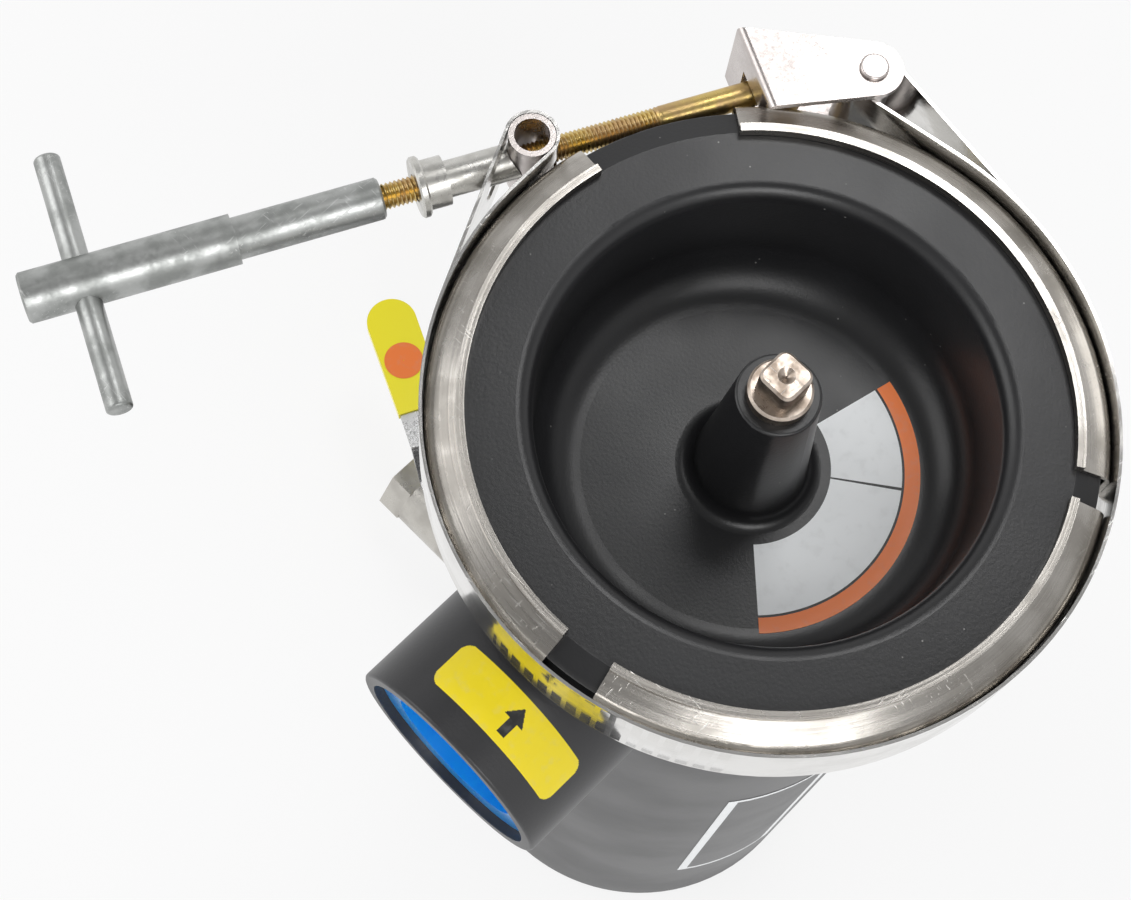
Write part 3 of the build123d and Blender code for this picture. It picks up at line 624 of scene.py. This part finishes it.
LATCH_STEEL = Metal(
    "latch_steel", (0.60, 0.555, 0.535), 0.27, tone=(0.45, 0.41, 0.395), patch_scale=35.0, scuff=0.3,
)
BOLT_ZINC = Metal(
    "bolt_zinc", (0.62, 0.46, 0.16), 0.30, tone=(0.46, 0.30, 0.17), patch_scale=120.0,
    patch_amount=0.75, scuff=0.3,
)
SLEEVE_ZINC = Metal(
    "sleeve_zinc", (0.62, 0.61, 0.58), 0.28, tone=(0.40, 0.39, 0.36), patch_scale=150.0, scuff=0.5,
)
HANDLE_ZINC = Metal(
    "handle_zinc", (0.43, 0.44, 0.43), 0.38, tone=(0.27, 0.28, 0.27), patch_scale=110.0,
    patch_amount=0.8, scuff=0.9,
)
PLUG_STEEL = Metal(
    "plug_steel", (0.50, 0.43, 0.37), 0.30, tone=(0.24, 0.19, 0.15), patch_scale=170.0,
    patch_amount=0.9, scuff=0.6,
)
VALVE_NICKEL = Metal("valve_nickel", (0.58, 0.56, 0.52), 0.30, tone=(0.40, 0.38, 0.35), patch_scale=90.0)
PLATED_STEEL = Metal("plated_steel", (0.62, 0.62, 0.62), 0.25, tone=(0.45, 0.45, 0.45))
BAG_FELT = Felt("bag_felt", (0.80, 0.78, 0.72), 0.9)
WHITE_PRINT = Printed("white_print", (0.88, 0.90, 0.91), 0.35)
ORANGE_PRINT = Printed("orange_print", (0.93, 0.21, 0.03), 0.35)
YELLOW_PRINT = Printed("yellow_print", (0.88, 0.70, 0.01), 0.32)
BLACK_PRINT = Printed("black_print", (0.012, 0.012, 0.012), 0.38)

NODE_FINISHES: dict[str, Finish] = {
    "filter_body": BODY_PLASTIC,
    "lid": LID_PLASTIC,
    "lid_seal": SEAL_RUBBER,
    "vent_plug": PLUG_STEEL,
    "basket": BASKET_PLASTIC,
    "bag_ring": RING_PLASTIC,
    "retainer_left": RETAINER_STEEL,
    "retainer_centre": RETAINER_STEEL,
    "retainer_right": RETAINER_STEEL,
    "clamp_strap": STRAP_STEEL,
    "trunnion_barrel": LATCH_STEEL,
    "thrust_sleeve": SLEEVE_ZINC,
    "t_handle": HANDLE_ZINC,
    "crossbar": HANDLE_ZINC,
    "latch": LATCH_STEEL,
    "latch_pin": LATCH_STEEL,
    "latch_barrel": LATCH_STEEL,
    "drain_nipple": PLATED_STEEL,
    "valve_body": VALVE_NICKEL,
    "packing_gland": VALVE_NICKEL,
    "valve_ball": PLATED_STEEL,
    "valve_stem": PLATED_STEEL,
    "valve_lever": PLATED_STEEL,
    "lever_grip": GRIP_VINYL,
    "lever_nut": PLATED_STEEL,
    "inlet_cap": CAP_PLASTIC,
    "outlet_cap": CAP_PLASTIC,
}


# ---- mesh helpers ---------------------------------------------------------------------


def mesh_piece(
    name: str, points: list[Vector], faces: Faces, finishes: list[Finish], picks: list[int] | None = None,
) -> bpy.types.Object:
    """Make an object from points and faces.

    Args:
        name: the piece's name.
        points: its vertices, in the frame.
        faces: index tuples.
        finishes: its material slots, in order.
        picks: slot of each face, or None for the first slot all over.

    Returns:
        The linked object.
    """
    mesh = bpy.data.meshes.new(name)
    mesh.from_pydata(points, [], faces)
    for finish in finishes:
        mesh.materials.append(finish.material())
    if picks:
        mesh.polygons.foreach_set("material_index", picks)
    mesh.polygons.foreach_set("use_smooth", [True] * len(mesh.polygons))
    mesh.validate()
    piece = bpy.data.objects.new(name, mesh)
    bpy.context.scene.collection.objects.link(piece)
    return piece


def smooth_by_angle(piece: bpy.types.Object, degrees: float) -> None:
    """Shade a mesh smooth, with sharp edges above an angle.

    Args:
        piece: the object.
        degrees: the angle.
    """
    piece.data.polygons.foreach_set("use_smooth", [True] * len(piece.data.polygons))
    bm = bmesh.new()
    bm.from_mesh(piece.data)
    for edge in bm.edges:
        edge.smooth = len(edge.link_faces) == 2 and edge.calc_face_angle(0.0) < math.radians(degrees)
    bm.to_mesh(piece.data)
    bm.free()


def band_faces(rows: int, steps: int) -> Faces:
    """Faces between rows of points that each close on themselves.

    Args:
        rows: number of rows.
        steps: points in a row.

    Returns:
        The faces.
    """
    return [
        (row * steps + step, row * steps + (step + 1) % steps, (row + 1) * steps + (step + 1) % steps,
         (row + 1) * steps + step)
        for row in range(rows - 1)
        for step in range(steps)
    ]


def turned(
    origin: Vector, axis: Vector, profile: list[tuple[float, float]], steps: int,
) -> tuple[list[Vector], Faces]:
    """Points and faces of a profile turned about an axis.

    Args:
        origin: a point on the axis.
        axis: the axis's direction.
        profile: (along, radius) pairs.
        steps: points round the axis.

    Returns:
        The points and the faces.
    """
    side = axis.orthogonal().normalized()
    other = axis.cross(side)
    points = [
        origin + axis * along + (side * math.cos(turn) + other * math.sin(turn)) * radius
        for along, radius in profile
        for turn in (2 * math.pi * step / steps for step in range(steps))
    ]
    return points, band_faces(len(profile), steps)


def joint(frame: dict, name: str) -> dict:
    """Joint of the frame with this name."""
    return next(entry for entry in frame["joints"] if entry["name"] == name)


def centre(node: str) -> Vector:
    """Middle of a node's box."""
    low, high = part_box(node)
    return (low + high) / 2


def span(frame: dict, node: str, origin: Vector, axis: Vector) -> tuple[float, float]:
    """Lowest and highest place of a node's points along an axis through an origin."""
    places = [(vertex.co - origin).dot(axis) for vertex in frame["nodes"][node].data.vertices]
    return min(places), max(places)


# ---- sub-assemblies -------------------------------------------------------------------


@dataclass
class Castings:
    """The frame's own solids, which keep their meshes and take their finishes here."""

    frame: dict

    def dress(self) -> None:
        """Give each node its finish."""
        for node, finish in NODE_FINISHES.items():
            piece = self.frame["nodes"][node]
            piece.data.materials.clear()
            piece.data.materials.append(finish.material())
            log.info("finish %s on %s", finish.name, node)


@dataclass
class TBolt:
    """The T-bolt: an upright barrel head on a rod with a rolled thread."""

    frame: dict
    pitch: float = 1.5875 * MM
    thread_depth: float = 0.85 * MM
    shank: float = 49.0 * MM            # plain length behind the head's axis
    threaded: float = 130.0 * MM
    run_out: float = 3.0 * MM
    steps: int = 48
    rows_per_pitch: int = 8
    corner: float = 0.6 * MM

    def build(self) -> bpy.types.Object:
        """Model the bolt and put it in place of its plain solid.

        Returns:
            The piece.
        """
        axis = Vector(joint(self.frame, "sleeve_travel")["axis"]).normalized()
        origin = centre("trunnion_barrel")
        low, high = span(self.frame, "t_bolt", origin, axis)
        points = [vertex.co for vertex in self.frame["nodes"]["t_bolt"].data.vertices]
        far = [point for point in points if (point - origin).dot(axis) > high - 5 * MM]
        radius = max(((point - origin) - axis * (point - origin).dot(axis)).length for point in far)
        head_low, head_high = min(point.z for point in points), max(point.z for point in points)
        head_points = [point for point in points if abs(point.z - head_high) < self.corner]
        head_centre = sum((Vector((p.x, p.y, 0)) for p in head_points), Vector()) / len(head_points)
        head_radius = max((Vector((p.x, p.y, 0)) - head_centre).length for p in head_points)
        head_along = (Vector((head_centre.x, head_centre.y, origin.z)) - origin).dot(axis)

        thread_start = head_along + self.shank
        rod_points, rod_faces = self._rod(origin, axis, head_along, thread_start, high, radius)
        head = Vector((head_centre.x, head_centre.y, head_low))
        height = head_high - head_low
        profile = [
            (0.0, 0.0), (0.0, head_radius - self.corner), (self.corner, head_radius),
            (height - self.corner, head_radius), (height, head_radius - self.corner), (height, 0.0),
        ]
        head_points, head_faces = turned(head, Vector((0, 0, 1)), profile, self.steps)
        shift = len(rod_points)
        faces = rod_faces + [tuple(index + shift for index in face) for face in head_faces]
        piece = mesh_piece("t_bolt_rolled", rod_points + head_points, faces, [BOLT_ZINC])
        smooth_by_angle(piece, 40.0)
        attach(piece, "t_bolt")
        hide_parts("t_bolt")
        log.info("T-bolt with %d faces", len(faces))
        return piece

    def _rod(
        self, origin: Vector, axis: Vector, start: float, thread_start: float, end: float, radius: float,
    ) -> tuple[list[Vector], Faces]:
        """Rod with a thread cut into it.

        Args:
            origin: point on the axis where places along it are zero.
            axis: the rod's direction.
            start: where the rod starts.
            thread_start: where the thread starts.
            end: where the rod ends.
            radius: the rod's radius, which is the thread's crest.

        Returns:
            The points and the faces.
        """
        thread_end = min(thread_start + self.threaded, end - self.run_out)
        rows = [start]
        count = int((thread_end - thread_start) / self.pitch * self.rows_per_pitch)
        rows += [thread_start + (thread_end - thread_start) * index / count for index in range(count + 1)]
        rows += [end - self.corner, end]
        side = axis.orthogonal().normalized()
        other = axis.cross(side)
        points = []
        for row, along in enumerate(rows):
            for step in range(self.steps):
                share = step / self.steps
                depth = 0.0
                if 0 < row <= count:
                    phase = (along / self.pitch - share) % 1.0
                    to_end = min(along - thread_start, thread_end - along)
                    ease = min(1.0, to_end / self.run_out)
                    depth = self.thread_depth * max(0.0, ease) * (1 - abs(2 * phase - 1))
                reach = radius - depth
                if row == len(rows) - 1:
                    reach -= self.corner
                turn = 2 * math.pi * share
                out = side * math.cos(turn) + other * math.sin(turn)
                points.append(origin + axis * along + out * reach)
        faces = band_faces(len(rows), self.steps)
        last = (len(rows) - 1) * self.steps
        faces.append(tuple(range(last, last + self.steps)))
        return points, faces


@dataclass
class FilterBag:
    """The felt bag: a hanging tube with soft folds and a rounded end."""

    frame: dict
    folds: int = 9
    fold_depth: float = 1.1 * MM
    inset: float = 1.6 * MM
    steps: int = 144
    rows: int = 60
    end_radius: float = 30.0 * MM

    def build(self) -> bpy.types.Object:
        """Model the bag and put it in place of its plain solid.

        Returns:
            The piece.
        """
        low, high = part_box("filter_bag")
        radius = (high.x - low.x) / 2 - self.inset
        top = high.z - 0.5 * MM
        bottom = low.z + self.inset
        arc = math.pi / 2 * self.end_radius
        wall = top - bottom - self.end_radius
        flat = radius - self.end_radius
        length = wall + arc + flat
        points = []
        for row in range(self.rows + 1):
            travelled = length * row / self.rows
            if travelled < wall:
                reach, height = radius, top - travelled
            elif travelled < wall + arc:
                turn = (travelled - wall) / self.end_radius
                reach = flat + self.end_radius * math.cos(turn)
                height = top - wall - self.end_radius * math.sin(turn)
            else:
                reach, height = max(0.4 * MM, radius - self.end_radius - (travelled - wall - arc)), bottom
            ease = math.sin(math.pi * min(1.0, travelled / (wall + arc))) ** 0.5
            for step in range(self.steps):
                turn = 2 * math.pi * step / self.steps
                fold = math.cos(self.folds * turn + 0.8 * math.sin(2 * turn) + 6 * travelled)
                fold += 0.4 * math.cos(2.3 * self.folds * turn + 9 * travelled)
                wide = reach - self.fold_depth * ease * (0.7 + 0.5 * fold)
                points.append(Vector((wide * math.cos(turn), wide * math.sin(turn), height)))
        faces = [(a, d, c, b) for a, b, c, d in band_faces(self.rows + 1, self.steps)]
        piece = mesh_piece("felt_bag", points, faces, [BAG_FELT])
        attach(piece, "housing")
        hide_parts("filter_bag")
        log.info("felt bag, %.0f mm long", length / MM)
        return piece


@dataclass
class Sticker:
    """A sticker that follows a surface, laid out on a grid of two coordinates."""

    name: str
    host: bpy.types.Object
    lift: float = 0.18 * MM

    def lay(
        self, columns: list[float], rows: list[float], place: Callable[[float, float], tuple[Vector, Vector]],
        picker: Callable[[float, float], int], finishes: list[Finish],
        keep: Callable[[float, float], bool] | None = None,
    ) -> bpy.types.Object:
        """Drop a grid on the host's surface.

        Args:
            columns: first coordinate of the grid's lines.
            rows: second coordinate of the grid's lines.
            place: gives (start, direction) of the ray for a pair of coordinates.
            picker: gives the slot for the middle of a cell.
            finishes: the material slots.
            keep: says whether a cell is part of the sticker, or None for all.

        Returns:
            The sticker.
        """
        tree = BVHTree.FromPolygons(
            [vertex.co for vertex in self.host.data.vertices],
            [tuple(polygon.vertices) for polygon in self.host.data.polygons],
        )
        points = []
        for row in rows:
            for column in columns:
                start, direction = place(column, row)
                hit = tree.ray_cast(start, direction)[0]
                points.append(hit - direction * self.lift)
        faces = []
        picks = []
        width = len(columns)
        for r in range(len(rows) - 1):
            for c in range(width - 1):
                middle = ((columns[c] + columns[c + 1]) / 2, (rows[r] + rows[r + 1]) / 2)
                if keep and not keep(*middle):
                    continue
                faces.append((r * width + c, r * width + c + 1, (r + 1) * width + c + 1, (r + 1) * width + c))
                picks.append(picker(*middle))
        piece = mesh_piece(self.name, points, faces, finishes, picks)
        trim = bmesh.new()
        trim.from_mesh(piece.data)
        bmesh.ops.delete(trim, geom=[v for v in trim.verts if not v.link_faces], context="VERTS")
        trim.to_mesh(piece.data)
        trim.free()
        return piece


def steps_between(start: float, end: float, size: float, marks: tuple[float, ...] = ()) -> list[float]:
    """Evenly spaced values between two ends, with extra marks kept exactly.

    Args:
        start: first value.
        end: last value.
        size: widest step.
        marks: values that must be on the list.

    Returns:
        The sorted values.
    """
    stops = sorted({start, end, *[mark for mark in marks if start < mark < end]})
    values = [start]
    for low, high in zip(stops, stops[1:]):
        count = max(1, math.ceil((high - low) / size))
        values += [low + (high - low) * (index + 1) / count for index in range(count)]
    return values


@dataclass
class LidSticker:
    """Plain fan-shaped sticker in the lid's dish: a white field inside an orange band."""

    frame: dict
    inner_radius: float = 30.0 * MM
    outer_radius: float = 62.5 * MM
    band: float = 5.7 * MM
    line: float = 0.9 * MM
    start_degrees: float = -43.0
    end_degrees: float = 77.0
    divider_degrees: float = 36.5

    def build(self) -> bpy.types.Object:
        """Lay the sticker in the dish.

        Returns:
            The piece.
        """
        band_start = self.outer_radius - self.band
        half_line = math.degrees(self.line / 2 / self.outer_radius) * 1.4
        divider = self.divider_degrees

        def place(turn: float, radius: float) -> tuple[Vector, Vector]:
            """Ray straight down at an azimuth and a radius."""
            angle = math.radians(turn)
            return Vector((radius * math.cos(angle), radius * math.sin(angle), top)), Vector((0, 0, -1))

        def picker(turn: float, radius: float) -> int:
            """White field, orange band and black lines."""
            if band_start - self.line < radius < band_start:
                return 2
            if radius > band_start:
                return 1
            return 2 if abs(turn - divider) < half_line else 0

        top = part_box("vent_plug")[1].z
        columns = steps_between(
            self.start_degrees, self.end_degrees, 2.0, (divider - half_line, divider + half_line),
        )
        marks = (band_start - self.line, band_start)
        rows = steps_between(self.inner_radius, self.outer_radius, 2.0 * MM, marks)
        sticker = Sticker("lid_sticker", self.frame["nodes"]["lid"])
        piece = sticker.lay(columns, rows, place, picker, [WHITE_PRINT, ORANGE_PRINT, BLACK_PRINT])
        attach(piece, "housing")
        log.info("lid sticker")
        return piece


@dataclass
class PortSticker:
    """Yellow sticker with a plain flow arrow, on top of the inlet port."""

    frame: dict
    length: float = 63.0 * MM           # round the port
    width: float = 18.5 * MM
    centre_degrees: float = 14.5
    edge_distance: float = 130.0 * MM   # middle of the sticker from the housing's axis
    corner: float = 4.5 * MM
    port_radius: float = 42.0 * MM
    cell: float = 0.35 * MM
    arrow_length: float = 12.0 * MM
    arrow_width: float = 9.0 * MM
    shaft_width: float = 3.6 * MM

    def build(self) -> bpy.types.Object:
        """Lay the sticker on the port.

        Returns:
            The piece.
        """
        low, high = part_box("inlet_cap")
        axis_height = (low.z + high.z) / 2
        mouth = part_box("filter_body")[0].y
        radius = self.port_radius
        far = 2 * radius

        def place(round_port: float, out: float) -> tuple[Vector, Vector]:
            """Ray towards the port's axis."""
            angle = math.radians(self.centre_degrees) + round_port / radius
            direction = Vector((-math.sin(angle), 0, -math.cos(angle)))
            start = Vector((0, -self.edge_distance - out, axis_height)) - direction * far
            return start, direction

        def keep(round_port: float, out: float) -> bool:
            """Cells inside the rounded outline."""
            across = max(0.0, abs(round_port) - (self.length / 2 - self.corner))
            down = max(0.0, abs(out) - (self.width / 2 - self.corner))
            return math.hypot(across, down) <= self.corner

        def picker(round_port: float, out: float) -> int:
            """Black arrow that points into the housing, on yellow."""
            head = self.arrow_length * 0.5
            along = out + self.arrow_length / 2
            if not 0 <= along <= self.arrow_length:
                return 0
            if along <= head:
                return int(abs(round_port) <= self.arrow_width / 2 * along / head)
            return int(abs(round_port) <= self.shaft_width / 2)

        columns = steps_between(-self.length / 2, self.length / 2, self.cell)
        rows = steps_between(-self.width / 2, self.width / 2, self.cell)
        piece = Sticker("inlet_sticker", self.frame["nodes"]["filter_body"]).lay(
            columns, rows, place, picker, [YELLOW_PRINT, BLACK_PRINT], keep,
        )
        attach(piece, "housing")
        log.info("inlet sticker, %.0f mm from the mouth", (-self.edge_distance - mouth) / MM)
        return piece


@dataclass
class BodySticker:
    """Blank plate sticker on the body: a white frame round an empty field."""

    frame: dict
    start_degrees: float = -38.0
    end_degrees: float = -8.0
    bottom: float = 90.0 * MM
    top: float = 290.0 * MM
    border: float = 4.5 * MM
    body_radius: float = 95.0 * MM

    def build(self) -> bpy.types.Object:
        """Lay the sticker on the body.

        Returns:
            The piece.
        """
        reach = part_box("filter_body")[1].x
        border_degrees = math.degrees(self.border / self.body_radius)

        def place(turn: float, height: float) -> tuple[Vector, Vector]:
            """Ray towards the housing's axis."""
            angle = math.radians(turn)
            out = Vector((math.cos(angle), math.sin(angle), 0))
            return out * 2 * reach + Vector((0, 0, height)), -out

        def picker(turn: float, height: float) -> int:
            """White at the border and dark inside."""
            inside = self.start_degrees + border_degrees < turn < self.end_degrees - border_degrees
            return int(inside and self.bottom + self.border < height < self.top - self.border)

        marks = (self.start_degrees + border_degrees, self.end_degrees - border_degrees)
        columns = steps_between(self.start_degrees, self.end_degrees, 1.5, marks)
        marks = (self.bottom + self.border, self.top - self.border)
        rows = steps_between(self.bottom, self.top, 6.0 * MM, marks)
        piece = Sticker("body_sticker", self.frame["nodes"]["filter_body"]).lay(
            columns, rows, place, picker, [WHITE_PRINT, BODY_PLASTIC],
        )
        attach(piece, "housing")
        log.info("body sticker")
        return piece


@dataclass
class GripSpot:
    """Round orange mark on top of the drain lever's grip."""

    frame: dict
    radius: float = 10.5 * MM
    from_stem: float = 76.0 * MM
    steps: int = 40
    rings: int = 6

    def build(self) -> bpy.types.Object:
        """Lay the mark on the grip.

        Returns:
            The piece.
        """
        stem = centre("valve_stem")
        grip = centre("lever_grip")
        out = Vector((grip.x - stem.x, grip.y - stem.y, 0)).normalized()
        middle = Vector((stem.x, stem.y, 0)) + out * self.from_stem

        def place(turn: float, radius: float) -> tuple[Vector, Vector]:
            """Ray straight down on the grip."""
            angle = math.radians(turn)
            start = middle + Vector((radius * math.cos(angle), radius * math.sin(angle), 1.0))
            return start, Vector((0, 0, -1))

        columns = steps_between(0.0, 360.0, 360.0 / self.steps)
        rows = steps_between(0.2 * MM, self.radius, self.radius / self.rings)
        piece = Sticker("grip_spot", self.frame["nodes"]["lever_grip"]).lay(
            columns, rows, place, lambda turn, radius: 0, [ORANGE_PRINT],
        )
        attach(piece, "drain_lever")
        log.info("grip spot")
        return piece


@dataclass
class StrapSplice:
    """Outer end of the strap's second layer: a thin plate that ends in a step."""

    frame: dict
    start_degrees: float = -96.0
    end_degrees: float = -53.0
    thickness: float = 0.55 * MM
    inset: float = 0.5 * MM             # from the strap's upper and lower edge
    corner: float = 1.2 * MM
    step_degrees: float = 1.5

    def build(self) -> bpy.types.Object:
        """Model the plate against the strap's outer face.

        Returns:
            The piece.
        """
        low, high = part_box("clamp_strap")
        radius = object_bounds()[1][0] - self.thickness
        bottom, top = low.z + self.inset, high.z - self.inset
        turns = steps_between(self.start_degrees, self.end_degrees, self.step_degrees)
        profile = [
            (0.0, bottom), (self.thickness * 0.7, bottom), (self.thickness, bottom + self.corner * 0.5),
            (self.thickness, top - self.corner * 0.5), (self.thickness * 0.7, top), (0.0, top),
        ]
        points = [
            Vector(((radius + out) * math.cos(turn), (radius + out) * math.sin(turn), height))
            for turn in map(math.radians, turns)
            for out, height in profile
        ]
        width = len(profile)
        faces = band_faces(len(turns), width)
        faces.append(tuple(reversed(range(width))))
        faces.append(tuple(range((len(turns) - 1) * width, len(turns) * width)))
        piece = mesh_piece("strap_splice", points, faces, [STRAP_STEEL])
        smooth_by_angle(piece, 30.0)
        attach(piece, "housing")
        log.info("strap splice")
        return piece


# ---- studio ---------------------------------------------------------------------------


@dataclass
class SoftBox:
    """One square soft light."""

    name: str
    place: Vector
    aim: Vector
    size: float
    power: float

    def build(self) -> None:
        """Hang the light and turn it to what it lights."""
        lamp = bpy.data.lights.new(self.name, "AREA")
        lamp.size = self.size
        lamp.energy = self.power
        box = bpy.data.objects.new(self.name, lamp)
        box.location = self.place
        box.rotation_euler = (self.aim - self.place).to_track_quat("-Z", "Y").to_euler()
        bpy.context.scene.collection.objects.link(box)


@dataclass
class Studio:
    """Pale floor, a room that is pale at eye level and dimmer overhead, soft boxes and the camera."""

    floor_size: float = 14.0
    floor_colour: Colour = (0.88, 0.88, 0.885)
    floor_glow: float = 0.8
    room_level: float = 0.95
    ceiling_level: float = 0.30
    lid_height: float = 0.5
    camera_place: Vector = field(default_factory=lambda: Vector((0.09761, -0.25056, 1.17027)))
    camera_aim: Vector = field(default_factory=lambda: Vector((-0.03723, -0.06081, 0.508)))
    camera_roll_degrees: float = 10.224
    lens: float = 67.973

    def build(self) -> None:
        """Make the floor, the world, the lights and the camera."""
        self._floor()
        self._world()
        lid = Vector((0, 0, self.lid_height))
        SoftBox("key", Vector((1.1, -0.7, 1.9)), lid, 0.9, 13.0).build()
        SoftBox("fill", Vector((-1.3, -0.9, 1.5)), lid * 0.6, 1.2, 8.0).build()
        SoftBox("sheen", Vector((-0.30, 0.78, 2.1)), lid, 0.55, 6.0).build()
        self._camera()
        bpy.context.scene.view_settings.view_transform = "Standard"

    def _floor(self) -> None:
        """Large pale floor that stays near white to the eye and keeps a shadow."""
        half = self.floor_size / 2
        corners = [Vector((x, y, 0)) for x, y in ((-half, -half), (half, -half), (half, half), (-half, half))]
        mesh = bpy.data.meshes.new("studio_floor")
        mesh.from_pydata(corners, [], [(0, 1, 2, 3)])
        floor = bpy.data.objects.new("studio_floor", mesh)
        bpy.context.scene.collection.objects.link(floor)
        material = bpy.data.materials.new("studio_floor")
        material.use_nodes = True
        graph = Graph(material.node_tree)
        shader = graph.first("ShaderNodeBsdfPrincipled")
        shader.inputs["Base Color"].default_value = (*self.floor_colour, 1.0)
        shader.inputs["Roughness"].default_value = 0.9
        glow = graph.node("ShaderNodeEmission")
        glow.inputs["Strength"].default_value = 1.0
        blend = graph.node("ShaderNodeMixShader")
        path = graph.node("ShaderNodeLightPath")
        seen = graph.maths("MAXIMUM", path.outputs["Is Camera Ray"], path.outputs["Is Glossy Ray"])
        seen = graph.maths("MAXIMUM", seen, path.outputs["Is Transmission Ray"])
        graph.link(graph.maths("MULTIPLY", seen, self.floor_glow), blend.inputs["Fac"])
        graph.link(shader.outputs["BSDF"], blend.inputs[1])
        graph.link(glow.outputs["Emission"], blend.inputs[2])
        graph.link(blend.outputs["Shader"], graph.first("ShaderNodeOutputMaterial").inputs["Surface"])
        mesh.materials.append(material)
        floor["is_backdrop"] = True

    def _world(self) -> None:
        """Room lit from eye level, with a dimmer ceiling that bright metal mirrors."""
        world = bpy.data.worlds.new("studio")
        world.use_nodes = True
        bpy.context.scene.world = world
        graph = Graph(world.node_tree)
        back = graph.first("ShaderNodeBackground")
        back.inputs["Color"].default_value = (1.0, 1.0, 1.0, 1.0)
        way = graph.node("ShaderNodeTexCoord").outputs["Generated"]
        parts = graph.node("ShaderNodeSeparateXYZ")
        graph.link(way, parts.inputs["Vector"])
        height = graph.ramp(parts.outputs["Z"], 0.30, 0.92)
        cloud = graph.noise(way, 2.1, detail=1.0)
        uneven = graph.spread(cloud.outputs["Fac"], -0.25, 0.25)
        overhead = graph.maths("MULTIPLY", height, graph.maths("ADD", 1.0, uneven))
        graph.link(graph.spread(overhead, self.room_level, self.ceiling_level), back.inputs["Strength"])

    def _camera(self) -> None:
        """Camera above the lid, rolled about its own line of sight."""
        data = bpy.data.cameras.new("camera")
        data.lens = self.lens
        data.sensor_width = 36.0
        camera = bpy.data.objects.new("camera", data)
        toward = (self.camera_aim - self.camera_place).to_track_quat("-Z", "Y").to_matrix().to_4x4()
        roll = Matrix.Rotation(math.radians(self.camera_roll_degrees), 4, "Z")
        camera.matrix_world = Matrix.Translation(self.camera_place) @ toward @ roll
        bpy.context.scene.collection.objects.link(camera)
        bpy.context.scene.camera = camera


def main() -> None:
    """Load the frame, dress it and add the studio."""
    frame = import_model()
    Castings(frame).dress()
    TBolt(frame).build()
    FilterBag(frame).build()
    LidSticker(frame).build()
    PortSticker(frame).build()
    BodySticker(frame).build()
    GripSpot(frame).build()
    StrapSplice(frame).build()
    Studio().build()


if __name__ == "__main__":
    main()
